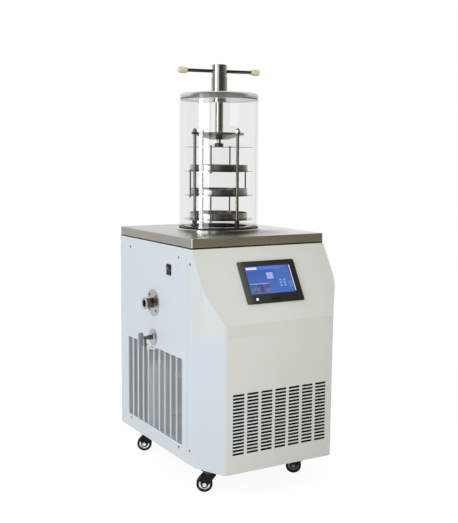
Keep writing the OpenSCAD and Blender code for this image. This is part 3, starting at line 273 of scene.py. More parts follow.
def studio_world():
    """White for the camera and for what is seen through the jar, bands for reflections, sky for light."""
    world = bpy.data.worlds.new("studio")
    world.use_nodes = True
    sheet = Sheet(world.node_tree)
    direction = sheet.node("ShaderNodeTexCoord", out="Generated")
    x, y, _ = sheet.axes(direction)
    # Angle about the vertical, from 0 to 1 once round, with the camera's direction at 0.5
    angle = y.math("ARCTAN2", x) / ONCE_ROUND
    turned = (angle - TO_CAMERA / ONCE_ROUND + 2.5).math("FRACT")
    bands = sheet.node("ShaderNodeValToRGB", {"stops": ROOM_BANDS}, turned)
    colour = sheet.mix(sheet.rays("Glossy"), SKY_COLOUR, bands)
    colour = sheet.mix(sheet.rays("Camera", "Transmission"), colour, (1.0, 1.0, 1.0))
    back = sheet.node("ShaderNodeBackground", None, Color=colour, Strength=1.0)
    sheet.finish(back, "ShaderNodeOutputWorld")
    bpy.context.scene.world = world


studio_world()
print("world made")


# %% [markdown]
# ## Two soft lamps
# A large cool lamp on the left lights the side panel, and a smaller warm one in front lights the cover.
# Area lamps this wide give soft edged shadows. They are hidden from reflections, because the room's bands
# and the cards already say what the metal shows.

# %% Lamps
def soft_lamp(name, place, target, size, power, colour):
    """A lamp of a given size in metres and power in watts, turned to face its target."""
    data = bpy.data.lights.new(name, "AREA")
    data.shape = "RECTANGLE"
    data.size, data.size_y = size
    data.energy = power
    data.color = colour
    lamp = bpy.data.objects.new(name, data)
    bpy.context.scene.collection.objects.link(lamp)
    lamp.location = place
    lamp.rotation_euler = (Vector(target) - Vector(place)).to_track_quat("-Z", "Y").to_euler()
    lamp.visible_glossy = False


CABINET_MIDDLE = (0, 0, 0.6)
soft_lamp("lamp_left", place=(-3.4, -0.6, 2.6), target=CABINET_MIDDLE, size=(2.0, 2.0), power=73,
          colour=(0.935, 0.99, 1.07))
soft_lamp("lamp_front", place=(1.3, -3.6, 2.0), target=CABINET_MIDDLE, size=(1.6, 1.6), power=38,
          colour=(1.10, 1.0, 0.74))
bpy.context.scene.view_settings.view_transform = "Standard"
print("lamps made")


# %% [markdown]
# ## Window cards
# The jar carries one tall bright stripe, and so do the press tube and the rods. That is a window behind the
# viewer's left shoulder. Each card below is a bent strip of light on a circle round the jar, and only
# reflections see it. A card is easier to aim than a lamp: an upright cylinder mirrors what stands at twice
# the angle of the place where it shows.

# %% Window card
CARD_RADIUS = 3.2
CARD_TOP = 1.80


def window_card(name, first, last, low, strength):
    """A bright curved card that only reflections see. Its angles in degrees are measured from the
    direction of the camera, and grow to the left. A point of it is the chamber's axis plus the radius
    times the unit vector of its angle."""
    turn = TO_CAMERA - np.radians(np.linspace(first, last, 13))
    ring = np.stack([AXIS[0] + CARD_RADIUS * np.cos(turn), AXIS[1] + CARD_RADIUS * np.sin(turn)], 1)
    points = [(x, y, z) for z in (low, CARD_TOP) for x, y in ring]
    n = len(ring)
    faces = [(i, i + 1, n + i + 1, n + i) for i in range(n - 1)]
    mesh = bpy.data.meshes.new(name)
    mesh.from_pydata(points, [], faces)
    card = bpy.data.objects.new(name, mesh)
    bpy.context.scene.collection.objects.link(card)
    made, sheet = material(name + "_light")
    sheet.finish(sheet.node("ShaderNodeEmission", None, Color=(1, 1, 1), Strength=strength))
    mesh.materials.append(made)
    for ray in ("camera", "diffuse", "transmission", "shadow", "volume_scatter"):
        setattr(card, "visible_" + ray, False)


window_card("window", first=47, last=58, low=0.30, strength=5.3)
window_card("window_side", first=28, last=47, low=0.30, strength=1.6)
window_card("narrow_window", first=8, last=20, low=1.12, strength=0.75)
print("window cards made")


# %% [markdown]
# ## Floor
# A plain pale floor catches the machine's shadow. A big curved sweep would hide the horizon as well, but a
# flat disc that partly glows fades into the white backdrop and is simpler.

# %% Floor
FLOOR_RADIUS = 3.2
FLOOR_CORNERS = 64
FLOOR_GLOW = 1.09
GLOW_SHARE = 0.86


def studio_floor():
    """A flat disc: radius times cosine and sine of the angle, at height zero. To the eye and to mirrors
    it is mostly a white glow, and the rest of it is matt and takes the shadow."""
    angle = np.linspace(0, ONCE_ROUND, FLOOR_CORNERS, endpoint=False)
    ring = np.stack([FLOOR_RADIUS * np.cos(angle), FLOOR_RADIUS * np.sin(angle), 0 * angle], 1)
    mesh = bpy.data.meshes.new("floor")
    mesh.from_pydata(ring.tolist(), [], [tuple(range(FLOOR_CORNERS))])
    floor = bpy.data.objects.new("floor", mesh)
    bpy.context.scene.collection.objects.link(floor)
    made, sheet = material("floor")
    seen = sheet.rays("Camera", "Glossy", "Transmission")
    matt = sheet.node("ShaderNodeBsdfDiffuse", None, Color=(0.8, 0.8, 0.8))
    glow = sheet.node("ShaderNodeEmission", None, Color=(1, 1, 1), Strength=FLOOR_GLOW)
    sheet.finish(sheet.node("ShaderNodeMixShader", None, seen * GLOW_SHARE, matt, glow))
    mesh.materials.append(made)


studio_floor()
print("floor made")


# %% [markdown]
# ## Painted sheet metal
# The cabinet is powder coated: a matt-satin skin with a very fine orange peel and hardly any colour
# variation. An image of paint would do it too, but a noise needs no unwrapping: fine noise drives a bump
# and a little of the roughness. The frame and the fittings inside are painted black or grey.

# %% Paint
PANEL_WHITE = (0.705, 0.735, 0.75)
PEEL_GRAIN = 900
PEEL_DEPTH = 0.0002
SATIN = 0.42


def painted(sheet, colour, rough, fine):
    """Finish the sheet as powder coat. Fine noise is its orange peel."""
    sheet.finish(sheet.node("ShaderNodeBsdfPrincipled", None, Base_Color=colour, Roughness=rough,
                            Normal=sheet.bump(fine, 0.35, PEEL_DEPTH), Specular_IOR_Level=0.4))


def powder_coat(name, colour, rough=SATIN):
    """One paint, which drifts 1.5 % darker and lighter over the machine."""
    made, sheet = material(name)
    where = sheet.place()
    fine = sheet.noise(where, PEEL_GRAIN, 2)
    broad = sheet.noise(where, 5, 2)
    tone = sheet.mix(broad, tuple(c * 0.985 for c in colour), tuple(min(1, c * 1.015) for c in colour))
    painted(sheet, tone, rough + (fine - 0.5) * 0.12, fine)
    return made


PAINT_FRAME = powder_coat("frame_paint", (0.035, 0.035, 0.037), 0.5)
PAINT_GREY = powder_coat("receiver_paint", (0.40, 0.41, 0.42), 0.35)
PAINT_BOX = powder_coat("box_paint", (0.03, 0.03, 0.032), 0.5)
PAINT_BLACK = powder_coat("black_paint", (0.012, 0.012, 0.013), 0.35)
print("paints made")


# %% [markdown]
# ## The cover's paint
# The folded cover's colour carries painted shade: darker from its upper left to its lower right, as on
# things that stand in the corner of a room. Its front below the control face is painted lighter towards the
# left, and its left wing there is painted cooler, as the cool left lamp lights it. A gradient is the
# simplest
# way: two numbers run from 0 to 1 across and up the cover's box, and mix the colours.

# %% Cover paint
FLAT_HALF = 0.195
FLAT_FROM = 0.5 - FLAT_HALF / (COVER_HIGH.x - COVER_LOW.x)
SLOPE_FROM = 0.62


def cover_coat():
    """The flat front starts at FLAT_FROM across, and the control face at SLOPE_FROM up."""
    made, sheet = material("cover_paint")
    where = sheet.place()
    x, _, z = sheet.axes(where)
    size = COVER_HIGH - COVER_LOW
    across = (x - COVER_LOW.x) / size.x
    up = (z - COVER_LOW.z) / size.z
    # Painted shade: darker towards the right and towards the bottom, as in the corner of a room
    right = (across - 0.45).math("MAXIMUM", 0.0)
    down = (0.55 - up).math("MAXIMUM", 0.0)
    corner = (right * 0.42 + down * 0.36).math("MINIMUM", 1.0)
    shade = sheet.mix(corner, (0.72, 0.742, 0.72), (0.40, 0.412, 0.40))
    # Painted light: the front below the control face lighter towards the left
    below = up < SLOPE_FROM
    left = ((0.5 - across) * 3).clamp()
    shade = sheet.mix(below * left * 0.28, shade, (0.84, 0.855, 0.85))
    # Painted light: the left wing cooler, as the cool left lamp lights it
    wing = (across < FLAT_FROM) * below
    shade = sheet.mix(wing, shade, (0.70, 0.74, 0.765))
    fine = sheet.noise(where, PEEL_GRAIN, 2)
    painted(sheet, shade, SATIN + (fine - 0.5) * 0.12, fine)
    return made


PAINT_COVER = cover_coat()
print("cover's flat front starts at", round(FLAT_FROM, 3))


# %% [markdown]
# ## Steel
# Brushed stainless has fine scratches in one direction. The shader's anisotropy could blur the highlight
# across them, but it needs a direction on each face, so a noise stretched along the scratches is simpler.
# Turned and polished parts are smoother, with only faint smears in their roughness.

# %% Metals
SCRATCH_DEPTH = 0.0001


def bare_metal(sheet, colour, rough, normal=None):
    """Finish the sheet as bare metal."""
    sheet.finish(sheet.node("ShaderNodeBsdfPrincipled", None, Base_Color=colour, Metallic=1.0,
                            Roughness=rough, Normal=normal))


def scratches(sheet, stretch, rough=0.6):
    """Noise drawn out into lines: they run where the stretch is smallest."""
    return sheet.noise(sheet.place(scale=stretch), 1, 3, rough)


def brushed(name, colour, rough, stretch=(8, 900, 900), depth=0.25):
    """Scratched metal, with broad clouds in its roughness."""
    made, sheet = material(name)
    grain = scratches(sheet, stretch)
    cloud = sheet.noise(sheet.place(), 9, 2)
    tone = sheet.mix(grain, tuple(c * 0.9 for c in colour), colour)
    bare_metal(sheet, tone, rough + (grain - 0.5) * 0.16 + (cloud - 0.5) * 0.06,
               sheet.bump(grain, depth, SCRATCH_DEPTH))
    return made


def polished(name, colour, rough):
    """Smooth metal, with hardly more than finger marks."""
    made, sheet = material(name)
    smear = sheet.noise(sheet.place(), 60, 3)
    bare_metal(sheet, colour, rough + (smear - 0.5) * 0.05)
    return made


STEEL_SCREW = polished("screw_steel", (0.22, 0.22, 0.23), 0.3)
STEEL_FLANGE = brushed("flange_steel", (0.62, 0.60, 0.62), 0.42, (300, 300, 300), 0.1)
STEEL_THIN = polished("shelf_steel", (0.72, 0.72, 0.70), 0.22)
STEEL_BRIGHT = polished("polished_steel", (0.80, 0.79, 0.76), 0.09)
STEEL_ROD = polished("rod_steel", (0.36, 0.345, 0.31), 0.07)
STEEL_DARK = polished("dark_steel", (0.16, 0.155, 0.13), 0.28)
# Painted shade: fins and fan blades made dark, as the shade inside the cabinet behind the vents
SHADED_ALUMINIUM = brushed("shaded_fin_aluminium", (0.16, 0.165, 0.17), 0.4)
COPPER = polished("copper", (0.72, 0.36, 0.22), 0.3)
print("metals made")


# %% [markdown]
# ## Trays and bridge plate
# Polished trays mirror a crowded rack: dark in the middle, where they see rods and the viewer's side of the
# room, and nearly black round the turned lower rim. The mirror image is too small to come out of the
# reflections alone, so part of it is painted. Each tray has its own darkness. The bridge plate is brushed,
# and its left ear lies in the shade of a nut.

# %% Tray and bridge steel
TRAY_WALL = (0.3, 0.8, 0.9)


def tray_steel(node, wall):
    """Warm steel. Wall is how bright the middle of the wall stays, from 0 to 1."""
    made, sheet = material(node + "_steel")
    low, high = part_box(node)
    x, _, z = sheet.axes(sheet.place())
    up = (z - low.z) / (high.z - low.z)
    grain = scratches(sheet, (300, 300, 6))
    middle = (1.6 - abs(x - AXIS[0] - 0.02) * 25).clamp()
    tone = sheet.mix(middle * (1 - wall), (0.68, 0.64, 0.60), (0.16, 0.155, 0.15))
    tone = sheet.mix((1.3 - up * 4).clamp() * 0.8, tone, (0.09, 0.07, 0.065))
    bare_metal(sheet, tone, 0.16 + (grain - 0.5) * 0.12, sheet.bump(grain, 0.1, SCRATCH_DEPTH))
    return made


def bridge_steel():
    """Brushed, with the shade growing to the left of the middle."""
    made, sheet = material("bridge_steel")
    x, _, _ = sheet.axes(sheet.place())
    grain = scratches(sheet, (200, 200, 20))
    shade = ((AXIS[0] - 0.045 - x) * 60).clamp()
    tone = sheet.mix(shade, (0.50, 0.47, 0.43), (0.03, 0.03, 0.03))
    bare_metal(sheet, tone, 0.28 + (grain - 0.5) * 0.16)
    return made


STEEL_BRIDGE = bridge_steel()
STEEL_TRAYS = [tray_steel(f"tray_{stage + 1}", wall) for stage, wall in enumerate(TRAY_WALL)]
print("tray finishes", len(STEEL_TRAYS))


# %% [markdown]
# ## The top plate
# The plate is brushed along its length. Its colour carries painted reflections: lighter to the right, where
# it mirrors the pale wall, and in front of the jar the jar's dark foot, as a soft crescent. Its turned down
# edges look browner, with a painted highlight along the fold above and a painted shadow along the hem below.
# Height in the plate's box tells top, fold, edge and hem apart.

# %% Top plate
PLATE_LOW, PLATE_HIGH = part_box("top_plate")
SKIN = 0.0006
HEM, FOLD = 0.14, 0.93


def foot_crescent(x, y):
    """The painted reflection of the jar's dark foot: it fades with the distance from the jar, and is there
    only in front of it.
    """
    far = ((x - AXIS[0]) ** 2 + (y - AXIS[1]) ** 2).math("SQRT")
    ahead = ((AXIS[1] - y) / far * 2.5 - 1).clamp() * ((x - AXIS[0] + 0.06) * 25).clamp()
    return (1.35 - (far - JAR_R) * 10).clamp() * ahead


def plate_steel():
    """Top, front edge and side edges of the plate, each with its own colour."""
    made, sheet = material("plate_steel")
    where = sheet.place()
    x, y, z = sheet.axes(where)
    grain = scratches(sheet, (8, 900, 900))
    cloud = sheet.noise(where, 9, 2)
    # Painted reflection: the top lighter towards the pale wall on the right, and darkened by the jar's foot
    right = ((x - AXIS[0]) / (PLATE_HIGH.x - AXIS[0])).math("MAXIMUM", 0.0)
    top = sheet.mix(right, (0.60, 0.59, 0.575), (0.86, 0.84, 0.82))
    top = sheet.mix(foot_crescent(x, y) * 0.8, top, (0.06, 0.05, 0.055))
    up = (z - PLATE_LOW.z) / (PLATE_HIGH.z - PLATE_LOW.z)
    edge = sheet.mix(y < PLATE_LOW.y + 0.001, (0.60, 0.57, 0.51), (0.70, 0.645, 0.46))
    # Painted highlight along the fold, and painted shadow along the hem
    edge = sheet.mix(up > FOLD, edge, (0.84, 0.80, 0.62))
    edge = sheet.mix(up < HEM, edge, (0.06, 0.055, 0.045))
    tone = sheet.mix(z > PLATE_HIGH.z - SKIN, edge, top)
    tone = sheet.mix(grain * 0.1, tone, (0, 0, 0))
    bare_metal(sheet, tone, 0.3 + (grain - 0.5) * 0.16 + (cloud - 0.5) * 0.06,
               sheet.bump(grain, 0.25, SCRATCH_DEPTH))
    return made


STEEL_PLATE = plate_steel()
print("plate", round(PLATE_HIGH.x - PLATE_LOW.x, 4), "by", round(PLATE_HIGH.y - PLATE_LOW.y, 4))


# %% [markdown]
# ## The vacuum nozzle
# The nozzle's tube is painted in a dark tone, a painted reflection of the dark room that the bare metal
# mirrors, and the flanges at its two ends are bare. Tube and flanges share one solid, and sorting its faces
# would be slow, so two limits along the tube say which is which.

# %% Nozzle steel
END_FLANGE = 0.005
WALL_FLANGE = 0.0045


def nozzle_steel():
    """Bare steel outside the two limits, and between them the tube in a dark tone: a painted reflection of
    the dark room.
    """
    made, sheet = material("nozzle_steel")
    port_low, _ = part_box("vacuum_port")
    x, _, _ = sheet.axes(sheet.place())
    dark = (x > port_low.x + END_FLANGE) * (x < PANEL_LEFT - WALL_FLANGE)
    grain = scratches(sheet, (900, 60, 60), 0.5)
    # Painted reflection: the tube's dark tone
    dark_reflection_tone = sheet.mix(grain, (0.09, 0.08, 0.045), (0.17, 0.16, 0.11))
    bare_metal(sheet, sheet.mix(dark, (0.62, 0.60, 0.60), dark_reflection_tone), 0.36 - dark * 0.14)
    return made


STEEL_NOZZLE = nozzle_steel()
print("nozzle steel made")


# %% [markdown]
# ## Clear acrylic
# The chamber wall is so clear that it mostly shows as reflections and as a slight greying of what is
# behind it. Real refraction through four faces would be slow and noisy, so each face lets light straight
# through with a faint tint. It mirrors a steady share, and more the flatter it is looked at: that part
# grows with the fifth power of Layer Weight's Facing, as it does on real clear sheet.

# %% Acrylic
CLEAR_FROM = JAR_R * math.sin(math.radians(15))
CLEAR_TO = JAR_R * math.sin(math.radians(29))
MIRROR, RIM_MIRROR = 0.15, 0.3
CLEAR_LOSS, BEYOND_LOSS = 0.11, 0.05


def clear_plastic(name, outer):
    """Sheet seen straight through. The outer face mirrors the dark room a little, and looks greyer at the
    sides, where the way through the wall is long. The pale end of the room, mirrored to the right of
    the press rod above the rack, leaves the wall clear there."""
    made, sheet = material(name)
    smear = sheet.noise(sheet.place(), 40, 2)
    facing = sheet.node("ShaderNodeLayerWeight", None, 0.5, out="Facing")
    tint = sheet.mix(facing ** 4, (0.977, 0.977, 0.977), (0.86, 0.865, 0.87))
    through = sheet.node("ShaderNodeBsdfTransparent", None, tint)
    if outer:
        inner = sheet.node("ShaderNodeNewGeometry", out="Backfacing")
        x, y, z = sheet.axes(sheet.place(move=(-AXIS[0], -AXIS[1], 0)))
        across = x * -math.sin(TO_CAMERA) + y * math.cos(TO_CAMERA)
        clear = (across > CLEAR_FROM) * (across < CLEAR_TO) * (z > RACK_TOP)
        beyond = across > CLEAR_TO
        mirror = MIRROR - clear * CLEAR_LOSS - beyond * BEYOND_LOSS + facing ** 5 * RIM_MIRROR
        mirror = mirror * (1 - inner)
    else:
        mirror = smear * 0.001
    gloss = sheet.node("ShaderNodeBsdfAnisotropic", None, (1, 1, 1), 0.01 + smear * 0.02)
    sheet.finish(sheet.node("ShaderNodeMixShader", None, mirror, through, gloss))
    return made


ACRYLIC = clear_plastic("clear_acrylic", True)
ACRYLIC_INNER = clear_plastic("inner_acrylic", False)
print("acrylic clear from", round(CLEAR_FROM, 4), "to", round(CLEAR_TO, 4), "right of the axis")


# %% [markdown]
# ## The lid
# The lid is the same sheet, but thick and looked at edge on. Its edge's colours are a painted reflection,
# standing in for what the thick clear edge bends and mirrors: dark in the middle, and at its two ends pale
# above a nearly black lower rim. Its flat underside stays pale. Two colour ramps run up the edge, one for
# the middle and one for the ends, and Layer Weight tells how much the edge turns away from the viewer.

# %% Lid acrylic
LID_MIDDLE = [(0.0, (0.27, 0.26, 0.25)), (0.2, (0.19, 0.18, 0.175)), (0.5, (0.155, 0.15, 0.15)),
              (0.9, (0.13, 0.13, 0.13)), (1.0, (0.30, 0.30, 0.30))]
LID_ENDS = [(0.0, (0.03, 0.028, 0.03)), (0.12, (0.05, 0.048, 0.05)), (0.3, (0.48, 0.47, 0.48)),
            (0.6, (0.76, 0.76, 0.76)), (1.0, (0.80, 0.80, 0.80))]
LID_SOLID, UNDER_LOSS, ABOVE_LOSS = 0.82, 0.3, 0.55
LID_MIRROR, LID_RIM_MIRROR = 0.03, 0.8


def lid_plastic():
    """A cloudy body that lets a little light straight through, under a clear gloss."""
    made, sheet = material("lid_acrylic")
    _, _, z = sheet.axes(sheet.place())
    up = (z - LID_LOW.z) / (LID_HIGH.z - LID_LOW.z)
    under = up < 0.01
    above = up > 0.99
    facing = sheet.node("ShaderNodeLayerWeight", None, 0.5, out="Facing")
    middle = sheet.node("ShaderNodeValToRGB", {"stops": LID_MIDDLE}, up)
    ends = sheet.node("ShaderNodeValToRGB", {"stops": LID_ENDS}, up)
    # Painted reflection: the edge's dark middle and pale ends, by how far the edge turns from the viewer
    edge = sheet.mix(((facing - 0.22) * 6).clamp(), middle, ends)
    body = sheet.mix(under, edge, (0.66, 0.64, 0.65))
    cloudy = sheet.node("ShaderNodeBsdfPrincipled", None, Base_Color=body, Roughness=0.25)
    straight = sheet.node("ShaderNodeBsdfTransparent", None, (0.82, 0.81, 0.81))
    solid = LID_SOLID - under * UNDER_LOSS - above * ABOVE_LOSS
    inside = sheet.node("ShaderNodeMixShader", None, solid, straight, cloudy)
    gloss = sheet.node("ShaderNodeBsdfAnisotropic", None, (1, 1, 1), 0.03)
    mirror = LID_MIRROR + LID_RIM_MIRROR * facing ** 5
    sheet.finish(sheet.node("ShaderNodeMixShader", None, mirror, inside, gloss))
    return made


ACRYLIC_LID = lid_plastic()
print("lid", round(LID_HIGH.z - LID_LOW.z, 4), "thick")


# %% [markdown]
# ## Plastics, rubber and foam
# Small fittings are moulded. One plain colour would do from afar, but a fine grain in the bump and the
# roughness keeps their highlights from looking like wet paint. The jar's two seals are one solid, so their
# height tells which is black and which is clear.

# %% Plastics
def moulded(name, colour, rough, grain=700, depth=0.2, shine=0.5):
    """Plastic or rubber of one colour. A larger grain number is a finer grain."""
    made, sheet = material(name)
    fine = sheet.noise(sheet.place(), grain, 2)
    tone = sheet.mix(sheet.noise(sheet.place(), 30, 2), tuple(c * 0.92 for c in colour), colour)
    shader = sheet.node("ShaderNodeBsdfPrincipled", None, Base_Color=tone,
                        Roughness=rough + (fine - 0.5) * 0.15,
                        Normal=sheet.bump(fine, depth, 0.0002), Specular_IOR_Level=shine)
    sheet.finish(shader)
    return made


def seal_rubber():
    """Black rubber at the foot of the jar, clear silicone under the lid."""
    made, sheet = material("seal_rubber")
    where = sheet.place()
    _, _, z = sheet.axes(where)
    silicone = z > LID_LOW.z - 0.05
    fine = sheet.noise(where, 600, 2)
    black = sheet.mix(fine, (0.012, 0.012, 0.013), (0.02, 0.02, 0.021))
    tone = sheet.mix(silicone, black, (0.74, 0.73, 0.73))
    sheet.finish(sheet.node("ShaderNodeBsdfPrincipled", None, Base_Color=tone, Alpha=1 - silicone * 0.82,
                            Roughness=0.5 + fine * 0.1))
    return made


BLACK = moulded("black_plastic", (0.012, 0.012, 0.013), 0.4)
RUBBER = moulded("black_rubber", (0.014, 0.013, 0.014), 0.55)
CREAM = moulded("cream_plastic", (0.72, 0.66, 0.42), 0.3, 300, 0.05)
LEVER = moulded("lever_plastic", (0.30, 0.285, 0.33), 0.4)
FOAM = moulded("foam", (0.03, 0.03, 0.032), 0.9, 160, 0.8)
BASE_DARK = moulded("rack_base", (0.02, 0.018, 0.02), 0.18, 300, 0.05)
SEAL = seal_rubber()
print("plastics made")


# %% [markdown]
# ## The panel's frame
# The panel leans back, so places on it are told by two directions, across and up the slope. The lean comes
# from the screen's own box, in which height and depth still hold a share of the thickness: trying again
# with the last answer settles it. The frame's plastic is lighter on the left, where the window catches it,
# and its data socket has a black plug.

# %% Panel frame
SCREEN_LOW, SCREEN_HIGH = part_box("touch_screen")
SCREEN_MIDDLE = (SCREEN_LOW + SCREEN_HIGH) / 2
SCREEN_THICK = 0.0016
FRAME_WIDTH = 0.206
PLUG_DOWN = 0.066
PLUG_HALF = (0.0165, 0.0045)


def lean_of(low, high, thick):
    """Angle of the screen's face above the horizontal, from the depth and height of its box."""
    angle = 1.0
    for _ in range(20):
        rise = high.z - low.z - thick * math.cos(angle)
        depth = high.y - low.y - thick * math.sin(angle)
        angle = math.atan2(rise, depth)
    return angle


LEAN = lean_of(SCREEN_LOW, SCREEN_HIGH, SCREEN_THICK)
UP_SLOPE = Vector((0, math.cos(LEAN), math.sin(LEAN)))
OUT_OF_SLOPE = Vector((0, -math.sin(LEAN), math.cos(LEAN)))


def panel_frame():
    """Colours run across the frame, and two lengths on its face mark the plug."""
    made, sheet = material("bezel_plastic")
    x, y, z = sheet.axes(sheet.place(move=tuple(-c for c in SCREEN_MIDDLE)))
    up = y * UP_SLOPE.y + z * UP_SLOPE.z
    plug = (abs(x) < PLUG_HALF[0]) * (abs(up + PLUG_DOWN) < PLUG_HALF[1])
    fine = sheet.noise(sheet.place(), 700, 2)
    tone = sheet.node("ShaderNodeValToRGB", {"stops": [
        (0.0, (0.11, 0.11, 0.10)), (0.12, (0.040, 0.041, 0.038)), (0.6, (0.022, 0.024, 0.022)),
        (1.0, (0.018, 0.019, 0.019))]}, x / FRAME_WIDTH + 0.5)
    tone = sheet.mix(plug, tone, (0.010, 0.010, 0.011))
    sheet.finish(sheet.node("ShaderNodeBsdfPrincipled", None, Base_Color=tone,
                            Roughness=0.42 + (fine - 0.5) * 0.15, Normal=sheet.bump(fine, 0.2, 0.0002)))
    return made


BEZEL = panel_frame()
print("panel leans", round(math.degrees(LEAN), 2))


# %% [markdown]
# ## The touch screen
# The screen shows a plain made up page: a blue ground, a picture, a few lines of text and small icons,
# none of them readable. Two numbers run from 0 to 1 across the screen and up it, and each block of the page
# is made by comparing them with four limits. The page glows, so it is the shader's emission.

# %% Screen picture
PAGE_SHARE = 0.945
PAGE_PICTURE = [
    (0.30, (0.05, 0.04, 0.30)), (0.45, (0.13, 0.05, 0.16)), (0.52, (0.06, 0.16, 0.20)),
    (0.60, (0.16, 0.12, 0.42)), (0.75, (0.25, 0.30, 0.70))]


def screen_picture():
    """The page, from the ground up. What is mixed in later lies on top."""
    made, sheet = material("screen_picture")
    x, _, z = sheet.axes(sheet.place())
    u = (x - SCREEN_LOW.x) / (SCREEN_HIGH.x - SCREEN_LOW.x)
    v = (z - SCREEN_LOW.z) / (SCREEN_HIGH.z - SCREEN_LOW.z) / PAGE_SHARE

    def block(left, right, low, high):
        """One inside a rectangle of the page."""
        return (u > left) * (u < right) * (v > low) * (v < high)

    def stripes(value, start, rate, share):
        """One for a share of each step, with so many steps in a unit."""
        return ((value - start) * rate).math("FRACT") < share

    blue = sheet.mix(v, (0.065, 0.17, 0.50), (0.052, 0.10, 0.42))
    blue = sheet.mix(block(0.60, 1.0, 0.0, 0.86), blue, (0.062, 0.155, 0.47))
    # A bar along the top, violet at its right end
    bar = v > 0.88
    blue = sheet.mix(bar, blue, (0.10, 0.19, 0.64))
    blue = sheet.mix(((u - 0.70) * 3.3).clamp() * bar, blue, (0.10, 0.08, 0.40))
    # A picture of nothing in particular, a light line over it and a pale caption at the top
    patches = sheet.noise(sheet.place(scale=(60, 60, 60)), 1, 3)
    picture = sheet.node("ShaderNodeValToRGB", {"stops": PAGE_PICTURE}, patches)
    blue = sheet.mix(block(0.03, 0.44, 0.05, 0.34), blue, picture)
    blue = sheet.mix(block(0.03, 0.44, 0.365, 0.385), blue, (0.40, 0.50, 0.92))
    blue = sheet.mix(block(0.02, 0.25, 0.89, 0.97), blue, (0.80, 0.78, 0.97))
    # A list of four lines
    lines = 1 - stripes(v, 0.52, 17, 0.3)
    blue = sheet.mix(block(0.43, 0.57, 0.52, 0.755) * lines, blue, (0.56, 0.54, 0.84))
    # Two columns of icons, and small figures beside them
    tiles = stripes(u, 0.68, 11.8, 0.55) * stripes(v, 0.24, 10.2, 0.6)
    blue = sheet.mix(block(0.68, 0.85, 0.24, 0.53) * tiles * 0.75, blue, (0.30, 0.50, 0.86))
    marks = stripes(u, 0.88, 22, 0.5) * stripes(v, 0.20, 13, 0.5)
    blue = sheet.mix(block(0.88, 0.97, 0.20, 0.43) * marks * 0.7, blue, (0.45, 0.34, 0.66))
    # The glass edge shows as a dark line down the right side, and the bright line in it is a painted
    # highlight
    blue = sheet.mix((u > 0.955).math("MAXIMUM", v > 1.0), blue, (0.02, 0.03, 0.06))
    blue = sheet.mix(block(0.972, 0.992, 0.04, 0.99), blue, (0.62, 0.72, 0.84))
    shader = sheet.node("ShaderNodeBsdfPrincipled", None, Base_Color=(0.01, 0.01, 0.012), Roughness=0.12,
                        Emission_Color=blue, Emission_Strength=1.0)
    sheet.finish(shader)
    return made


SCREEN_PICTURE = screen_picture()
print("screen picture made")


# %% [markdown]
# ## Turned shapes
# The jar and the panel's lamp are turned shapes: a list of radius and height pairs is swept once round an
# axis. Two directions square to the axis place each point of the ring. A spin or a Screw modifier would do
# the same, but the formula is short and gives every face the finish of its own stretch of the outline.

# %% Turned trim
def turned_piece(name, centre, axis, profile, finishes, steps):
    """Point (i, j) is centre + radius_i (cos a_j u + sin a_j v) + height_i axis, with a_j once round;
    the profile is a closed outline of radius and height pairs."""
    axis = np.array(axis, float) / np.linalg.norm(axis)
    u = np.cross(axis, [0, 0, 1] if abs(axis[2]) < 0.9 else [1, 0, 0])
    u /= np.linalg.norm(u)
    v = np.cross(axis, u)
    turn = np.linspace(0, ONCE_ROUND, steps, endpoint=False)
    radius, height = np.array(profile, float).T
    ring = np.cos(turn)[:, None] * u + np.sin(turn)[:, None] * v
    points = np.array(centre) + radius[:, None, None] * ring + height[:, None, None] * axis
    n = len(profile)
    i, j = np.meshgrid(np.arange(n), np.arange(steps), indexing="ij")

    def corner(a, b):
        """Number of a point; both counts close on themselves."""
        return (a % n) * steps + b % steps

    faces = np.stack([corner(i, j), corner(i, j + 1), corner(i + 1, j + 1), corner(i + 1, j)], -1)
    mesh = bpy.data.meshes.new(name)
    mesh.from_pydata(points.reshape(-1, 3).tolist(), [], faces.reshape(-1, 4).tolist())
    mesh.shade_smooth()
    mesh.set_sharp_from_angle(angle=math.radians(40))
    for finish in dict.fromkeys(finishes):
        mesh.materials.append(finish)
    index = [list(dict.fromkeys(finishes)).index(f) for f in finishes]
    mesh.polygons.foreach_set("material_index", np.repeat(index, steps).astype(np.int32))
    piece = bpy.data.objects.new(name, mesh)
    bpy.context.scene.collection.objects.link(piece)
    return piece


print("turning helper ready")


# %% [markdown]
# ## Painted shade inside the panels
# The three flat panels are painted nearly black on their inner faces, as painted shade that keeps the
# inside dark behind the vents. The dark could be a thin sheet of its own, cut with the same slots. One
# material for both sides is simpler: a limit on one coordinate splits outside from inside.

# %% Panels with painted shade inside
PLATE_EDGE = 0.0003


def shaded_inside_panel(name, node, axis, side):
    """Paint outside, and painted shade inside: nearly black and matt. The plate's outer plane is at the low
    (-1) or high (1) end of the node's box on the given axis; its four rims stay painted too."""
    made, sheet = material(name)
    low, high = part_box(node)
    where = sheet.place()
    spot = sheet.axes(where)
    inside = spot[axis] > low[axis] + PLATE_EDGE if side < 0 else spot[axis] < high[axis] - PLATE_EDGE
    for other in {0, 1, 2} - {axis}:
        inside = inside * (spot[other] > low[other] + PLATE_EDGE) * (spot[other] < high[other] - PLATE_EDGE)
    # Painted shade: the inner face nearly black
    tone = sheet.mix(inside, PANEL_WHITE, (0.012, 0.012, 0.012))
    painted(sheet, tone, SATIN + inside * 0.5, sheet.noise(where, PEEL_GRAIN, 2))
    return made


LEFT_PANEL_SHADED_INSIDE = shaded_inside_panel("left_panel_paint", "left_side_panel", 0, -1)
RIGHT_PANEL_SHADED_INSIDE = shaded_inside_panel("right_panel_paint", "right_side_panel", 0, 1)
BACK_PANEL_SHADED_INSIDE = shaded_inside_panel("back_panel_paint", "back_panel", 1, 1)
print("shaded_panel_insides made")


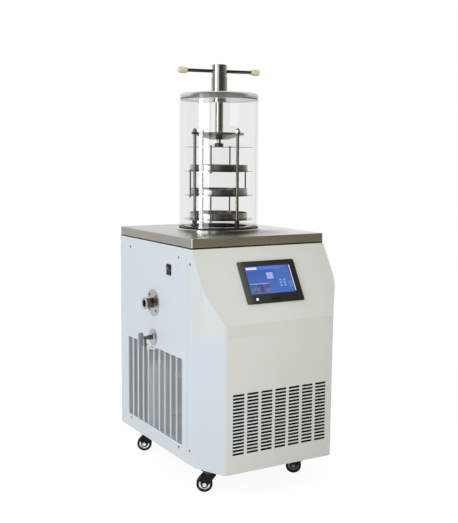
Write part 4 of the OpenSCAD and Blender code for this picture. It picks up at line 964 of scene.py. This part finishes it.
# %% [markdown]
# ## A finish for every part
# The machine's parts come ready made, each with a flat colour. Finishes could be given in the cells above,
# one by one, but a single table shows at a glance what each part is made of. A short function puts the
# finish on each material slot.

# %% Dress the CAD nodes
FINISH = {
    "welded_frame": PAINT_FRAME, "left_side_panel": LEFT_PANEL_SHADED_INSIDE, "right_side_panel": RIGHT_PANEL_SHADED_INSIDE,
    "back_panel": BACK_PANEL_SHADED_INSIDE, "front_cover": PAINT_COVER, "top_plate": STEEL_PLATE,
    "panel_screws": STEEL_SCREW, "touch_panel_housing": BEZEL, "switch_housing": BLACK,
    "switch_rocker": BLACK, "power_inlet": BLACK, "vacuum_port": STEEL_NOZZLE,
    "drain_flange": STEEL_FLANGE, "drain_valve": STEEL_DARK, "drain_lever": LEVER,
    "cold_trap_vessel": STEEL_BRIGHT, "evaporator_coil": COPPER, "trap_insulation": FOAM,
    "compressor": PAINT_BLACK, "compressor_mounts": RUBBER, "condenser": SHADED_ALUMINIUM,
    "fan_shroud": PAINT_BLACK, "fan_motor": PAINT_BLACK, "fan_blades": SHADED_ALUMINIUM,
    "liquid_receiver": PAINT_GREY, "refrigerant_pipes": COPPER, "control_box": PAINT_BOX,
    "chamber_gasket": SEAL, "chamber_cylinder": ACRYLIC, "chamber_lid": ACRYLIC_LID,
    "press_sleeve": STEEL_BRIGHT, "handle_hub": STEEL_BRIGHT, "handle_bar": STEEL_DARK,
    "handle_caps": CREAM, "press_rod": STEEL_BRIGHT, "press_foot": STEEL_DARK,
    "bridge_plate": STEEL_BRIDGE, "guide_rods": STEEL_ROD, "rod_nuts": STEEL_BRIGHT,
    "rack_base": BASE_DARK, "castor_plates": PAINT_BLACK, "touch_screen": SCREEN_PICTURE,
}
for stage in range(1, 5):
    FINISH[f"shelf_{stage}"] = STEEL_THIN
for stage, steel in enumerate(STEEL_TRAYS, 1):
    FINISH[f"tray_{stage}"] = steel
    FINISH[f"hangers_{stage}"] = STEEL_DARK


def dress(name, finish):
    """One finish on every material slot of a node, or a new slot where it has none."""
    slots = frame["nodes"][name].material_slots
    for slot in slots:
        slot.material = finish
    if not slots:
        frame["nodes"][name].data.materials.append(finish)


for name, finish in FINISH.items():
    dress(name, finish)
print("dressed", len(FINISH), "of", len(frame["nodes"]), "nodes, the castors' wheels and forks come later")


# %% [markdown]
# ## The jar
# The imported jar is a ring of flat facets, and flat facets break a reflection into steps. Smooth shading
# would hide some of that, but a finer turned tube of the same size, put in its place, is truly round.
# Only its outer wall has the clear reflection.

# %% Jar
JAR_WALL = 0.006
JAR_OUTLINE = [(JAR_R - JAR_WALL, JAR_LOW.z), (JAR_R, JAR_LOW.z), (JAR_R, JAR_HIGH.z),
               (JAR_R - JAR_WALL, JAR_HIGH.z)]
JAR_FINISHES = [ACRYLIC_INNER, ACRYLIC, ACRYLIC_INNER, ACRYLIC_INNER]
jar = turned_piece("clear_jar", (*AXIS, 0), (0, 0, 1), JAR_OUTLINE, JAR_FINISHES, steps=256)
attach(jar, "cabinet")
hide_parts("chamber_cylinder")
print("jar", round(JAR_R, 4), "high", round(JAR_HIGH.z - JAR_LOW.z, 4))


# %% [markdown]
# ## Castors
# A castor wheel is a black tread round a dished disc, with a bright pressed ring in the dish and a zinc
# plated nut on the axle. The ring and the nut could be pieces of their own, but they are already shaped in
# the CAD, so only the finish changes with the distance from the axle. Centre and direction of each axle
# come from the wheel's own rolling joint.

# %% Castor finishes
CORNERS = ("front_left", "front_right", "rear_left", "rear_right")
JOINTS = {joint["name"]: joint for joint in frame["record"]["behaviour"]["joints"]}
TREAD = (0.014, 0.013, 0.014)
FORK_BLACK = (0.012, 0.014, 0.014)
ZINC = (0.75, 0.75, 0.76)
SHADED_ZINC = (0.10, 0.10, 0.10)


def axle_zones(name, joint, dark, bright, limits, face=0.0):
    """Two zones by distance from the axle. The bright one lies between the limits, and only where the
    distance along the axle is more than the face's."""
    made, sheet = material(name)
    centre = joint["pos_m"]
    ax, ay, _ = joint["axis"]
    x, y, z = sheet.axes(sheet.place(move=tuple(-c for c in centre)))
    along = x * ax + y * ay
    far = (x * x + y * y + z * z - along * along).math("SQRT")
    metal = (far > limits[0]) * (far < limits[1]) * (abs(along) > face)
    fine = sheet.noise(sheet.place(), 500, 2)
    tone = sheet.mix(metal, sheet.mix(fine, dark, tuple(c * 1.3 for c in dark)), bright)
    sheet.finish(sheet.node("ShaderNodeBsdfPrincipled", None, Base_Color=tone, Metallic=metal,
                            Roughness=0.45 - metal * 0.25 + (fine - 0.5) * 0.1,
                            Specular_IOR_Level=0.12))
    return made


# The right hand castors stand in the machine's own shade, so their zinc is painted dark as painted shade
WHEEL_RING = (0.0125, 0.0175)
AXLE_NUT = (-1.0, 0.0062)
FORK_FACE = 0.0143
for corner in CORNERS:
    roll = JOINTS["roll_" + corner]
    zinc = SHADED_ZINC if "right" in corner else ZINC
    dress("castor_wheel_" + corner, axle_zones("wheel_" + corner, roll, TREAD, zinc, WHEEL_RING))
    dress("castor_fork_" + corner, axle_zones("fork_" + corner, roll, FORK_BLACK, zinc, AXLE_NUT, FORK_FACE))
print("castors dressed")


# %% [markdown]
# ## Status lamp
# A milky lens sits in the small seat at the lower left of the touch panel, in a low rim. A squashed sphere
# would do for the lens, but one turned outline makes lens and rim together. Its place is told on the
# panel's face, so it leans with it.

# %% Lamp lens
LAMP_LEFT, LAMP_DOWN, LAMP_OUT = 0.068, 0.0645, 0.0012
LAMP_AT = SCREEN_MIDDLE - Vector((LAMP_LEFT, 0, 0)) - UP_SLOPE * LAMP_DOWN + OUT_OF_SLOPE * LAMP_OUT
LENS_OUTLINE = [(0.00001, 0), (0.0031, 0), (0.0031, 0.0009), (0.0043, 0.0009), (0.0040, 0.0016),
                (0.0022, 0.0023), (0.00001, 0.0025)]


def glowing(name, colour, strength):
    """Milky plastic with a light behind it."""
    made, sheet = material(name)
    fine = sheet.noise(sheet.place(), 300, 2)
    sheet.finish(sheet.node("ShaderNodeBsdfPrincipled", None, Base_Color=colour,
                            Roughness=0.2 + fine * 0.1, Emission_Color=sheet.mix(fine, colour, (1, 1, 1)),
                            Emission_Strength=strength))
    return made


LENS = glowing("lamp_lens", (0.85, 0.87, 0.84), 0.5)
lamp_lens = turned_piece("status_lamp", LAMP_AT, OUT_OF_SLOPE, LENS_OUTLINE,
                         [LENS] * len(LENS_OUTLINE), steps=32)
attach(lamp_lens, "cabinet")
print("status lamp at", tuple(round(v, 4) for v in LAMP_AT))
